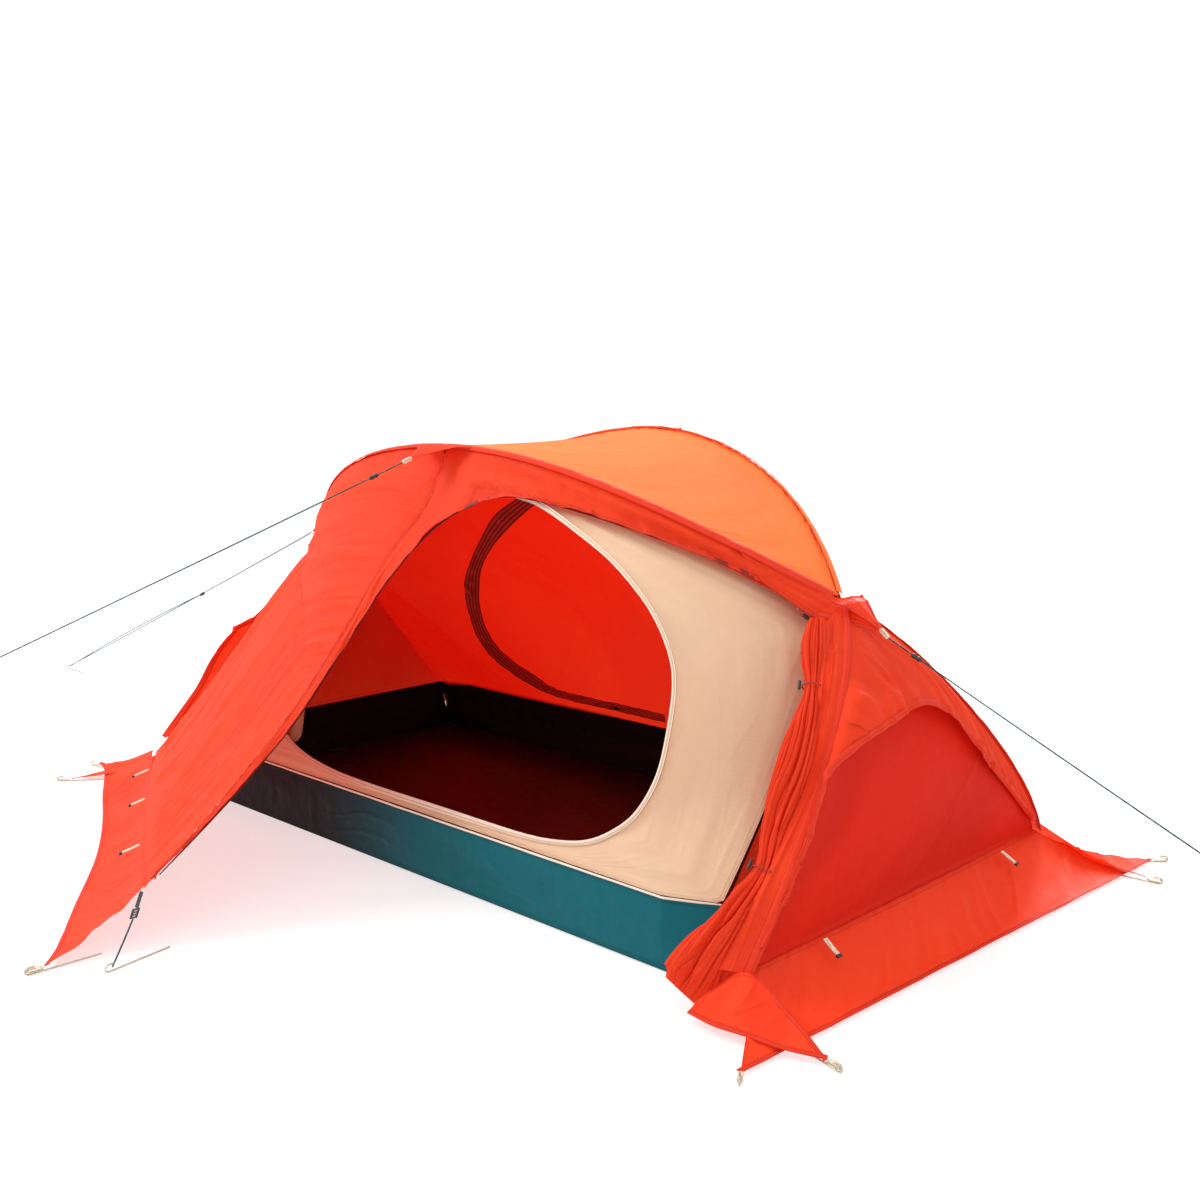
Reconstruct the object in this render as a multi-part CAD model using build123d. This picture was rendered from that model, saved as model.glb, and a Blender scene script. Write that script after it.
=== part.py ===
from build123d import *
import os
import numpy as np

# Two-pole ridge tent with a separate inner tent, one vestibule door tied open.
# Frame: origin on the ground under the middle of the floor, +X along the sleeping length,
# -Y towards the open door, +Z up. Millimetres.
os.makedirs("parts", exist_ok=True)

# ---------------------------------------------------------------- driving dimensions
FLOOR_L, FLOOR_W = 2200.0, 1113.0      # inner tent floor
TUB_H = 170.0                          # height of the waterproof tub wall
CLOTH = 1.5                            # thickness given to every cloth panel
POLE_D, POLE_BORE = 9.0, 7.4           # pole tube
FERRULE_D, FERRULE_BORE = 7.3, 4.6     # insert that joins two pole sections
FERRULE_L = 76.0
SHOCK_D = 2.6                          # elastic cord inside the poles
POLE_SECTIONS = 11
LINE_D = 3.6                           # guy line
RUN_FIT = 0.05                         # radial clearance of a runner on its line
PEG_D, PEG_L = 4.0, 165.0
SEAM_GAP = 6.0                         # each panel stops this far from the seam line

# ---------------------------------------------------------------- geometry core (millimetres)
CX, CZ = 1030.0, 775.0                       # where the two poles cross at each end
FA, FPA, FH, FPH = 344.3, 2.742, 339.2, 2.138    # front arch: reach forward, power, rise, power
RA, RPA, RH, RPH = 481.7, 2.180, 365.5, 1.783    # rear arch
CORNER = {"FR": (1226.0, -590.0, 85.0), "BR": (1217.0, 696.0, 85.0),
          "FL": (-1216.0, -585.0, 85.0), "BL": (-1216.0, 696.0, 85.0)}
FOOT = {"FR": (1191.0, -560.0, 20.0), "BR": (1182.0, 666.0, 20.0),
        "FL": (-1181.0, -555.0, 20.0), "BL": (-1181.0, 666.0, 20.0)}
LEG1 = {"FR": (1214.9, -188.5, 658.1), "BR": (1180.2, 137.7, 669.2),
        "FL": (-1113.2, -84.8, 722.4), "BL": (-1144.4, 104.9, 694.4)}
LEG2 = {"FR": (1205.1, -326.4, 339.9), "BR": (1273.6, 462.9, 285.8),
        "FL": (-1143.0, -335.0, 288.0), "BL": (-1140.4, 494.7, 389.4)}


def V3(*a):
    return np.array(a, float)


def front_arch(u):
    u = np.asarray(u, float)
    return np.stack([CX * u, -FA * (1 - abs(u) ** FPA), CZ + FH * (1 - abs(u) ** FPH)], -1)


def rear_arch(u):
    u = np.asarray(u, float)
    return np.stack([CX * u, RA * (1 - abs(u) ** RPA), CZ + RH * (1 - abs(u) ** RPH)], -1)


def bez(P, t):
    t = np.asarray(t, float)[..., None]
    P = [np.asarray(p, float) for p in P]
    return (1 - t) ** 3 * P[0] + 3 * (1 - t) ** 2 * t * P[1] + 3 * (1 - t) * t * t * P[2] + t ** 3 * P[3]


def leg(k, t, fly=True):
    sx = 1 if k[1] == "R" else -1
    end = V3(*(CORNER if fly else FOOT)[k])
    p2 = V3(*LEG2[k]) + (0.6 * (V3(*CORNER[k]) - V3(*FOOT[k])) if fly else 0)
    return bez([(sx * CX, 0, CZ), LEG1[k], p2, end], t)


def resample(P, n, t0=0.0, t1=1.0):
    P = np.asarray(P, float)
    d = np.r_[0, np.cumsum(np.linalg.norm(np.diff(P, axis=0), axis=1))]
    s = np.linspace(t0 * d[-1], t1 * d[-1], n)
    return np.stack([np.interp(s, d, P[:, k]) for k in range(3)], -1)


def plen(P):
    return float(np.linalg.norm(np.diff(np.asarray(P, float), axis=0), axis=1).sum())


def smooth(P, n=200):
    """A smooth line through a few points (Catmull-Rom)."""
    P = np.asarray(P, float)
    Q = np.vstack([2 * P[0] - P[1], P, 2 * P[-1] - P[-2]])
    out = []
    m = max(2, n // (len(P) - 1))
    for i in range(1, len(Q) - 2):
        t = np.linspace(0, 1, m, endpoint=False)[:, None]
        a, b, c, d = Q[i - 1], Q[i], Q[i + 1], Q[i + 2]
        out.append(0.5 * (2 * b + (c - a) * t + (2 * a - 5 * b + 4 * c - d) * t * t
                          + (3 * b - a - 3 * c + d) * t ** 3))
    out.append(P[-1][None])
    return np.vstack(out)


# centre seams of the two vestibules, top to tip, in the plane X = 0
SEAM_F = [(0, -352, 1100), (0, -387, 1018), (0, -439, 940), (0, -554, 836), (0, -676, 686),
          (0, -833, 504), (0, -982, 367), (0, -1123, 249), (0, -1272, 134)]
SEAM_R = [(0, 488, 1128), (0, 522, 1040), (0, 575, 955), (0, 680, 842), (0, 795, 690),
          (0, 935, 506), (0, 1062, 369), (0, 1180, 251), (0, 1300, 134)]


def rim(side):
    """Fly edge of one vestibule half: from the arch apex over the crossing and down the leg."""
    fr = side[0] == "F"
    sx = 1 if side[1] == "R" else -1
    u = np.linspace(0, 1, 90) * sx
    a = front_arch(u) if fr else rear_arch(u)
    b = leg(side, np.linspace(0, 1, 70)[1:])
    return np.vstack([a, b])


def vest(side, r, c, sag=1.0):
    """Vestibule skin: r from 0 at the top to 1 at the hem, c from 0 at the rim to 1 at the seam."""
    A = resample(rim(side), 400)
    B = resample(smooth(SEAM_F if side[0] == "F" else SEAM_R), 400)
    r = np.asarray(r, float)
    c = np.asarray(c, float)
    k = r * 399
    a = np.stack([np.interp(k, np.arange(400), A[:, i]) for i in range(3)], -1)
    b = np.stack([np.interp(k, np.arange(400), B[:, i]) for i in range(3)], -1)
    P = a * (1 - c)[..., None] + b * c[..., None]
    return P


def vest_out(side):
    """Direction in which a vestibule half bellies out."""
    d = V3(0.42 if side[1] == "R" else -0.42, -0.72 if side[0] == "F" else 0.72, 0.50)
    return d / np.linalg.norm(d)


def belly(r):
    """How far it bellies, by height: most level with the crossing."""
    return 26.0 + 26.0 * np.exp(-((np.asarray(r, float) - 0.47) / 0.2) ** 2)

# opening edge of the tied-back door: from under the right-hand crossing, along the fixed
# band below the front arch and down the storm flap to the vestibule tip
OPEN_EDGE = [(1005, -84, 739), (962, -76, 765), (899, -130, 814), (807, -198, 867), (674, -277, 921),
             (520, -346, 970), (369, -393, 1000), (270, -414, 999), (180, -439, 970), (96, -496, 902), (47, -600, 775),
             (31, -697, 651), (27, -851, 477), (22, -996, 346), (16, -1087, 272), (9, -1179, 202), (2, -1262, 143)]
# free edge of the hood over the end wall (Y, Z), from the front corner to the rear corner
HOOD = [(-588, 90), (-530, 167), (-440, 285), (-385, 385), (-335, 448), (-270, 480), (-200, 503),
        (-120, 520), (-44, 536), (8, 546), (61, 544), (117, 527), (174, 495), (226, 460),
        (345, 350), (456, 262), (560, 176), (660, 96)]
HOOD_X = 1236.0
# outer edge of the front left ground skirt
SKIRT_FL = [(-1478, -655, 12), (-1384, -683, 12), (-1107, -827, 12), (-860, -951, 11), (-601, -1100, 11),
            (-322, -1289, 11), (-100, -1440, 11), (-20, -1506, 11)]
SKIRT_RL = [(-1500, 733, 12), (-1384, 764, 12), (-1107, 890, 11), (-860, 1000, 10), (-601, 1135, 9),
            (-322, 1300, 11), (-100, 1442, 11), (-14, 1506, 11)]
# inner door opening (X, Z); Y follows from the lean of the wall
DOOR_D = [(278, 996), (381, 976), (512, 927), (642, 869), (741, 808), (814, 748), (869, 678), (892, 615),
          (897, 523), (887, 421), (847, 335), (790, 281), (713, 239), (615, 217), (486, 207), (192, 206),
          (-130, 205), (-313, 213), (-451, 236), (-545, 276), (-600, 340), (-622, 430), (-606, 540),
          (-560, 650), (-480, 760), (-360, 862), (-200, 942), (-20, 985), (140, 1002)]
# edges of the rear inner door's zip band (X, Z): outer, inner
REAR_ZIP = [((-420, 950), (-380, 922)), ((-506, 893), (-458, 867)), ((-574, 838), (-514, 818)), ((-627, 754), (-584, 743)),
            ((-672, 668), (-633, 663)), ((-703, 591), (-656, 595)), ((-711, 501), (-671, 514)), ((-714, 412), (-668, 430)),
            ((-701, 343), (-654, 375)), ((-660, 279), (-607, 314)), ((-602, 237), (-549, 269)), ((-515, 208), (-478, 233)),
            ((-380, 198), (-365, 226)), ((-203, 196), (-203, 224)), ((0, 196), (0, 222))]


def front_wall_y(z):
    return -556.5 + 0.2376 * (z - 170.0)


def rear_wall_y(z):
    return 556.5 - 0.105 * (z - 170.0)


# ---------------------------------------------------------------- inner tent lines
TUB_X, TUB_Y = 1086.0, 500.0          # top corners of the tub wall, drawn in by the corner seams


def in_front_arch(u):
    P = front_arch(u)
    return np.stack([P[..., 0] * 0.955, P[..., 1] * 0.965, 726 + (P[..., 2] - CZ) * 0.985], -1)


def in_rear_arch(u):
    P = rear_arch(u)
    return np.stack([P[..., 0] * 0.955, P[..., 1] * 0.94, 726 + (P[..., 2] - CZ) * 0.985], -1)


def in_leg(k, t):
    sx = 1 if k[1] == "R" else -1
    sy = 1 if k[0] == "B" else -1
    return bez([(sx * CX * 0.955, 0, 726), (sx * 1045, sy * 80, 650), (sx * 1095, sy * 300, 420),
                (sx * TUB_X, sy * TUB_Y, TUB_H + 3)], t)


def in_rim(front):
    """From the left tub corner up the leg, over the arch and down to the right tub corner."""
    a, b = ("FL", "FR") if front else ("BL", "BR")
    arch = in_front_arch if front else in_rear_arch
    t = np.linspace(0, 1, 60)
    return np.vstack([in_leg(a, t[::-1]), arch(np.linspace(-1, 1, 120)[1:-1]), in_leg(b, t)])


# ---------------------------------------------------------------- solids from skins
def normals(G, ring=False):
    if ring:
        du = np.roll(G, -1, 0) - np.roll(G, 1, 0)
    else:
        du = np.gradient(G, axis=0)
    dv = np.gradient(G, axis=1)
    N = np.cross(du, dv)
    L = np.linalg.norm(N, axis=2, keepdims=True)
    return N / np.where(L < 1e-9, 1, L)


def skin(G, t=CLOTH, ring=False):
    """A closed cloth solid of thickness t about a grid of points."""
    G = np.asarray(G, float)
    n, m, _ = G.shape
    N = normals(G, ring)
    A, B = G + N * t / 2, G - N * t / 2
    tri = []
    last = n if ring else n - 1
    for i in range(last):
        k = (i + 1) % n
        for j in range(m - 1):
            tri += [(A[i, j], A[k, j], A[k, j + 1]), (A[i, j], A[k, j + 1], A[i, j + 1])]
            tri += [(B[i, j], B[k, j + 1], B[k, j]), (B[i, j], B[i, j + 1], B[k, j + 1])]

    def side(P, Q, wrap=False):
        c = len(P)
        for i in range(c if wrap else c - 1):
            k = (i + 1) % c
            tri.append((P[i], Q[i], Q[k]))
            tri.append((P[i], Q[k], P[k]))

    if not ring:
        side(A[0], B[0])
        side(B[-1], A[-1])
    side(B[:, 0], A[:, 0], ring)
    side(A[:, -1], B[:, -1], ring)
    return hull_of(tri)


def hull_of(tri):
    faces = [Face(Wire.make_polygon([Vector(*p) for p in t], close=True)) for t in tri]
    s = Solid(Shell(faces))
    if s.volume < 0:
        s = Solid(Shell([-f for f in faces]))
    return s


def loft_skin(rings):
    """A closed solid through rings of points (same count each), capped flat fans."""
    R = np.asarray(rings, float)
    n, m, _ = R.shape
    tri = []
    for i in range(n - 1):
        for j in range(m):
            k = (j + 1) % m
            tri += [(R[i, j], R[i, k], R[i + 1, k]), (R[i, j], R[i + 1, k], R[i + 1, j])]
    for i, flip in ((0, True), (n - 1, False)):
        c = R[i].mean(0)
        for j in range(m):
            k = (j + 1) % m
            tri.append((c, R[i, k], R[i, j]) if flip else (c, R[i, j], R[i, k]))
    return hull_of(tri)


def vec(p):
    return Vector(*[float(x) for x in p])


def tube_arc(a, m, b, ro, ri=0.0):
    """A bent tube through three points: a circular arc (or a straight run)."""
    a, m, b = (np.asarray(p, float) for p in (a, m, b))
    bend = np.linalg.norm(np.cross(m - a, b - a)) / np.linalg.norm(b - a)
    e = ThreePointArc(vec(a), vec(m), vec(b)) if bend > 0.02 else Line(vec(a), vec(b))
    pl = Plane(origin=e @ 0, z_dir=e % 0)
    prof = Circle(ro) - Circle(ri) if ri else Circle(ro)
    return sweep(pl * prof, path=e)


def rod(a, b, r, bore=0.0):
    a, b = np.asarray(a, float), np.asarray(b, float)
    pl = Plane(origin=vec(a), z_dir=vec(b - a))
    h = float(np.linalg.norm(b - a))
    s = pl * Cylinder(r, h, align=(Align.CENTER, Align.CENTER, Align.MIN))
    if bore:
        s = s - pl * Cylinder(bore, h, align=(Align.CENTER, Align.CENTER, Align.MIN))
    return s


def place(shape, origin, z=(0, 0, 1), x=None):
    pl = Plane(origin=vec(origin), z_dir=vec(z), x_dir=vec(x)) if x is not None else Plane(origin=vec(origin), z_dir=vec(z))
    return pl * shape


def node(name, shapes):
    out = []
    for s in shapes if isinstance(shapes, (list, tuple)) else [shapes]:
        out += list(s.solids())
    export_step(out[0] if len(out) == 1 else Compound(children=out), "parts/%s.step" % name)
    print(name, len(out), "solids", round(sum(s.volume for s in out)))


def grid(f, us, vs):
    return np.array([[f(u, v) for v in vs] for u in us], float)


def between(A, B, n, m, g0=0.0, g1=0.0):
    """Ruled grid: A and B resampled to n points, m across, stopping g0 and g1 short of them."""
    A, B = resample(A, n), resample(B, n)
    L = np.linalg.norm(B - A, axis=1)
    a, b = g0 / L, 1 - g1 / L
    return np.array([[A[i] + (B[i] - A[i]) * (a[i] + (b[i] - a[i]) * j / (m - 1)) for j in range(m)]
                     for i in range(n)])


# ---------------------------------------------------------------- the fly
def roof(nu, nw, arch_a=front_arch, arch_b=rear_arch, lim=0.965, sag=14.0, gap=SEAM_GAP):
    us = np.linspace(-lim, lim, nu)
    G = np.zeros((nu, nw, 3))
    for i, u in enumerate(us):
        a, b = arch_a(u), arch_b(u)
        L = np.linalg.norm(b - a)
        for j in range(nw):
            w = gap / L + (1 - 2 * gap / L) * j / (nw - 1)
            G[i, j] = a + (b - a) * w
            G[i, j, 2] -= sag * 4 * w * (1 - w) * (1 - u * u)
    return G


def vest_grid(side, nr, nc, r0=0.035, r1=0.997, g0=SEAM_GAP, g1=3.0):
    A = resample(rim(side), nr, r0, r1)
    B = resample(smooth(SEAM_F if side[0] == "F" else SEAM_R), nr, r0, r1)
    L = np.linalg.norm(B - A, axis=1)
    G = np.zeros((nr, nc, 3))
    for i in range(nr):
        r = r0 + (r1 - r0) * i / (nr - 1)
        for j in range(nc):
            c = g0 / L[i] + (1 - (g0 + g1) / L[i]) * j / (nc - 1)
            G[i, j] = A[i] + (B[i] - A[i]) * c \
                + vest_out(side) * belly(r) * 4 * c * (1 - c) * (1 - 0.35 * c) * min(1.0, L[i] / 500.0)
    return G


def band_lines(n):
    """Outer and inner line of the fixed band and storm flap, matched station by station."""
    n1 = int(n * 0.5)
    arch = front_arch(np.linspace(0.985, 0.0, 120))
    seam = smooth(SEAM_F, 300)
    E = smooth(OPEN_EDGE, 600)
    k = int(np.argmin(np.linalg.norm(E - V3(228, -424, 990), axis=1)))
    O = np.vstack([resample(arch, n1), resample(seam, n - n1 + 1, 0.0, 0.985)[1:]])
    I = np.vstack([resample(E[:k + 1], n1), resample(E[k:], n - n1 + 1, 0.0, 0.985)[1:]])
    return O, I


def band_grid(n, m, g=3.5):
    O, I = band_lines(n)
    G = np.zeros((len(O), m, 3))
    for i in range(len(O)):
        L = max(np.linalg.norm(I[i] - O[i]), 1e-6)
        a = min(g / L, 0.25)
        for j in range(m):
            G[i, j] = O[i] + (I[i] - O[i]) * (a + (1 - a) * j / (m - 1))
    return G


def end_rim(x):
    """From the front corner up the leg to the crossing and down to the rear corner."""
    t = np.linspace(0, 1, 80)
    return np.vstack([leg("F" + x, t[::-1]), leg("B" + x, t[1:])])


def hood_line(x):
    s = 1 if x == "R" else -1
    return smooth([(s * HOOD_X, y, z) for y, z in HOOD], 200)


def hood_grid(x, n, m, g=SEAM_GAP):
    A, B = resample(end_rim(x), n, 0.035, 0.965), resample(hood_line(x), n, 0.035, 0.965)
    tight = np.zeros(n)
    if x == "L":                                  # the left hood is drawn close in behind the closed vestibule
        k = np.clip((60 - B[:, 1]) / 170, 0, 1)
        tight = k * k * (3 - 2 * k)
        B[:, 0] = B[:, 0] * (1 - tight) + (A[:, 0] - 24) * tight
    L = np.linalg.norm(B - A, axis=1)
    G = np.zeros((n, m, 3))
    for i in range(n):
        a = min(g / L[i], 0.3)
        for j in range(m):
            w = a + (1 - a) * j / (m - 1)
            G[i, j] = A[i] + (B[i] - A[i]) * w
            G[i, j, 0] += (1 if x == "R" else -1) * (26 - 20 * tight[i]) * np.sin(np.pi * w) * min(1, L[i] / 260)
    return G


def gable_grid(x, n, m, inset=24.0, back=14.0):
    t = np.linspace(0.30, 0.985, n)
    a, b = leg("F" + x, t), leg("B" + x, t)
    s = 1 if x == "R" else -1
    G = np.zeros((n, m, 3))
    for i in range(n):
        L = np.linalg.norm(b[i] - a[i])
        for j in range(m):
            w = inset / L + (1 - 2 * inset / L) * j / (m - 1)
            G[i, j] = a[i] + (b[i] - a[i]) * w
            G[i, j, 0] -= s * back
    return G


def band_on(path, half, lift, n, across=3, centre=V3(0, 0, 250)):
    """A strip of cloth laid along a line, lifted off it and crowned over what runs beneath."""
    P = resample(path, n)
    T = np.gradient(P, axis=0)
    T /= np.linalg.norm(T, axis=1, keepdims=True)
    N = P - centre
    N /= np.linalg.norm(N, axis=1, keepdims=True)
    N -= (N * T).sum(1, keepdims=True) * T
    N /= np.linalg.norm(N, axis=1, keepdims=True)
    S = np.cross(T, N)
    G = np.zeros((n, across, 3))
    for j in range(across):
        w = 2 * j / (across - 1) - 1
        G[:, j] = P + S * half * w + N * (lift * (1 - 0.6 * w * w))
    return G


def pole_line(which):
    """Centre line of a pole, a little inside the cloth; pole B passes under pole A."""
    if which == "A":
        a, arch, c = leg("FR", np.linspace(1, 0, 90), False), rear_arch, leg("FL", np.linspace(0, 1, 90), False)
    else:
        a, arch, c = leg("BR", np.linspace(1, 0, 90), False), front_arch, leg("BL", np.linspace(0, 1, 90), False)
    P = np.vstack([a[:-1], arch(np.linspace(1, -1, 240)), c[1:]])
    C = V3(0, 0, 250)
    d = C - P
    d /= np.linalg.norm(d, axis=1, keepdims=True)
    off = np.full(len(P), 16.0)
    near = np.minimum(np.linalg.norm(P - V3(CX, 0, CZ), axis=1), np.linalg.norm(P - V3(-CX, 0, CZ), axis=1))
    off += (0.0 if which == "A" else 30.0) * np.exp(-(near / 110.0) ** 2)
    low = np.clip((P[:, 2] - 20) / 120.0, 0, 1)
    P = P + d * (off * low)[:, None]
    k = np.exp(-np.arange(-6, 7) ** 2 / 14.0)
    k /= k.sum()
    Q = P.copy()
    for a_ in range(3):
        Q[:, a_] = np.convolve(np.pad(P[:, a_], 6, mode="edge"), k, mode="valid")
    Q[0], Q[-1] = P[0], P[-1]
    Q = np.vstack([Q[:1], Q[8:-8], Q[-1:]])
    return resample(Q, 661)


def peg(at, toward, up=(0, 0, 1)):
    """Wire peg laid flat with its hook at `at`; its shaft runs towards `toward`."""
    a = V3(at[0], at[1], PEG_D / 2)
    d = V3(toward[0] - at[0], toward[1] - at[1], 0)
    d /= np.linalg.norm(d)
    r = 8.0
    tip = a + d * PEG_L
    top = a + V3(0, 0, 2 * r)
    path = Line(vec(tip), vec(a)) + ThreePointArc(vec(a), vec(a - d * r + V3(0, 0, r)), vec(top)) \
        + Line(vec(top), vec(top + d * 14))
    prof = Plane(origin=vec(tip), z_dir=vec(-d)) * Circle(PEG_D / 2)
    return sweep(prof, path=path)


def loop_ring(a, b, width, h=5.0, t=1.4, n=14):
    """A flat webbing loop standing on edge: round both ends, from a to b."""
    a, b = V3(*a), V3(*b)
    d = b - a
    L = np.linalg.norm(d)
    d /= L
    up = V3(0, 0, 1) - d * d[2]
    up /= np.linalg.norm(up)
    s = np.cross(d, up)
    pts = []
    for k in range(n):
        ang = 2 * np.pi * k / n
        c, sn = np.cos(ang), np.sin(ang)
        pts.append((a + b) / 2 + d * (np.sign(c) * (L / 2 - h) + c * h) + up * sn * h)
    G = np.array([[p - s * width / 2, p + s * width / 2] for p in pts])
    return skin(G, t, ring=True)


# ================================================================ build
node("fly_roof", skin(roof(15, 5)))
node("fly_front_left", skin(vest_grid("FL", 15, 8)))
node("fly_rear_left", skin(vest_grid("BL", 13, 7)))
node("fly_rear_right", skin(vest_grid("BR", 13, 7)))
node("fly_door_band", skin(band_grid(34, 4)))
node("fly_hoods", [skin(hood_grid(x, 25, 4)) for x in "LR"])
node("fly_gables", [skin(gable_grid(x, 8, 7)) for x in "LR"])

node("pole_sleeves", [skin(band_on(front_arch(np.linspace(-0.95, 0.95, 120)), 13, 9, 22)),
                      skin(band_on(rear_arch(np.linspace(-0.95, 0.95, 120)), 13, 9, 22))])

# ground skirts
def skirt(inner, outer, n, m=3, gap=5.0, sag=3.0):
    G = between(smooth(inner, 120), smooth(outer, 160), n, m, gap, 0)
    for j in range(m):
        w = j / (m - 1)
        G[:, j, 2] -= sag * 4 * w * (1 - w)
    return G


SK_END_R = skirt([(1232, -588, 82), (1240, 50, 80), (1224, 690, 82)], [(1379, -805, 7), (1415, 45, 7), (1451, 888, 7)], 13)
SK_END_L = skirt([(-1224, -584, 82), (-1240, 50, 80), (-1224, 690, 82)], [(-1389, -797, 7), (-1420, 45, 7), (-1451, 888, 7)], 13)
SK_FL = skirt([(-1222, -600, 97), (-610, -946, 108), (-12, -1276, 133)], SKIRT_FL, 15)
SK_RL = skirt([(-1222, 708, 97), (-610, 1012, 108), (-10, 1304, 133)], SKIRT_RL, 15)
SK_RR = SK_RL * V3(-1, 1, 1)
SK_FR = between(smooth([(1172, -624, 58), (1204, -610, 86), (1234, -604, 98), (1262, -606, 92), (1300, -612, 82)], 60),
                smooth([(1160, -704, 20), (1236, -716, 22), (1316, -706, 22), (1400, -690, 18), (1470, -656, 12)], 60), 9, 4)
node("skirt_ends", [skin(SK_END_R), skin(SK_END_L)])
node("skirt_front_left", skin(SK_FL))
node("skirt_rear", [skin(SK_RL), skin(SK_RR)])
node("skirt_front_right", skin(SK_FR))

# the open half of the front door, gathered against the front right leg
GATHER = [((1046, -118, 742), 20, 15), ((1064, -146, 704), 30, 18), ((1084, -180, 655), 26, 17), ((1104, -214, 608), 17, 15),
          ((1128, -262, 548), 30, 22), ((1150, -325, 468), 40, 26), ((1158, -392, 350), 40, 28), ((1164, -452, 252), 24, 22),
          ((1158, -524, 180), 48, 34), ((1146, -588, 120), 60, 38), ((1140, -622, 80), 64, 34), ((1134, -644, 48), 66, 26),
          ((1124, -660, 28), 52, 15)]


def gather_rings(m=14, scale=1.0):
    C = np.array([g[0] for g in GATHER], float)
    T = np.gradient(C, axis=0)
    rings = []
    for i, (c, ra, rb) in enumerate(GATHER):
        t = T[i] / np.linalg.norm(T[i])
        s = np.cross(t, V3(0.72, -0.69, 0.0))
        s /= np.linalg.norm(s)
        n = np.cross(s, t)
        rings.append([C[i] + s * ra * scale * np.cos(a) * (1 + 0.10 * np.cos(5 * a)) + n * rb * scale * np.sin(a) * (1 + 0.12 * np.cos(5 * a))
                      for a in np.linspace(0, 2 * np.pi, m, endpoint=False)])
    return rings


node("fly_door_gathered", loft_skin(gather_rings()))

# ---- poles
def sections(P, n=POLE_SECTIONS, gap=0.3):
    k = (len(P) - 1) // n
    out = []
    for i in range(n):
        Q = P[i * k:(i + 1) * k + 1]
        Q = resample(Q, 21, gap / plen(Q), 1 - gap / plen(Q))
        out.append((Q[0], Q[10], Q[-1]))
    return out


lines = {w: pole_line(w) for w in "AB"}
cords, inserts, tips = [], [], []
for w in "AB":
    secs = sections(lines[w])
    node("pole_" + ("rear" if w == "A" else "front"), [tube_arc(*q, POLE_D / 2, POLE_BORE / 2) for q in secs])
    cords += [tube_arc(*q, SHOCK_D / 2) for q in secs]
    n = len(lines[w]) // POLE_SECTIONS
    for i in range(1, POLE_SECTIONS):
        Q = lines[w]
        half = FERRULE_L / 2 / (plen(Q) / (len(Q) - 1))
        c = i * n
        h = int(round(half))
        inserts.append(tube_arc(Q[c - h], Q[c], Q[c + h], FERRULE_D / 2, FERRULE_BORE / 2))
node("pole_ferrules", inserts)
node("shock_cords", cords)
feet = {"FR": lines["A"][0], "FL": lines["A"][-1], "BR": lines["B"][0], "BL": lines["B"][-1]}
straps, rings = [], []
for k, f in feet.items():
    sx, sy = (1 if k[1] == "R" else -1), (1 if k[0] == "B" else -1)
    tips.append(rod((f[0], f[1], f[2] - 2.6), (f[0], f[1], 10.5), 4.3))
    tips.append(rod((f[0], f[1], 10.5), (f[0], f[1], 2.0), 2.9))
    c = V3(sx * FLOOR_L / 2, sy * FLOOR_W / 2, 6)
    d = V3(f[0], f[1], 6) - c
    L = np.linalg.norm(d)
    d /= L
    b = place(Box(L + 18, 24, 1.6, align=(Align.MIN, Align.CENTER, Align.CENTER)), c + d * 4, (0, 0, 1), d)
    b -= rod((f[0], f[1], 0), (f[0], f[1], 20), 5.2)
    straps.append(b)
    rings.append(rod((f[0], f[1], 4.4), (f[0], f[1], 7.6), 5.15, 2.96))
node("pole_tips", tips)
node("corner_straps", straps)
node("corner_grommets", rings)
# cloth ties round both poles at each crossing
ties = []
for s in (-1, 1):
    c = V3(s * CX, 0, CZ) + (V3(0, 0, 250) - V3(s * CX, 0, CZ)) / np.linalg.norm(V3(0, 0, 250) - V3(s * CX, 0, CZ)) * 31
    ties.append(place(Torus(22, 1.6), c, (0.62, 0, 0.78) if s > 0 else (-0.62, 0, 0.78)).rotate(Axis(vec(c), Vector(0, 1, 0)), 90))
node("crossing_ties", ties)

# ---- inner tent
def wall_ring(n, m, loops=3):
    """Front inner wall as a ring of cloth between its outer rim and the door opening."""
    D = np.array([(x, front_wall_y(z), z) for x, z in DOOR_D], float)
    D = smooth(np.vstack([D, D[:1]]), 580)[:-1]
    R = in_rim(True)
    base = resample([R[-1], (960, -FLOOR_W / 2 + 1, TUB_H + 3), (-960, -FLOOR_W / 2 + 1, TUB_H + 3), R[0]], 120)[1:-1]
    O = np.vstack([resample(R, 400), base])
    c = V3(150, -450, 590)
    ang = lambda P: np.arctan2((P[:, 2] - c[2]) * 1.75, P[:, 0] - c[0])
    th = np.linspace(-np.pi, np.pi, n, endpoint=False)

    def at(P):
        a = ang(P)
        o = np.argsort(a)
        a, Q = a[o], P[o]
        a = np.r_[a - 2 * np.pi, a, a + 2 * np.pi]
        Q = np.vstack([Q, Q, Q])
        return np.stack([np.interp(th, a, Q[:, k]) for k in range(3)], -1)
    A, B = at(O), at(D)
    L = np.linalg.norm(B - A, axis=1)
    g0 = 3.0 / L
    return np.array([[A[i] + (B[i] - A[i]) * (g0[i] + (1 - g0[i]) * j / (m - 1)) for j in range(m)] for i in range(n)])


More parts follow.
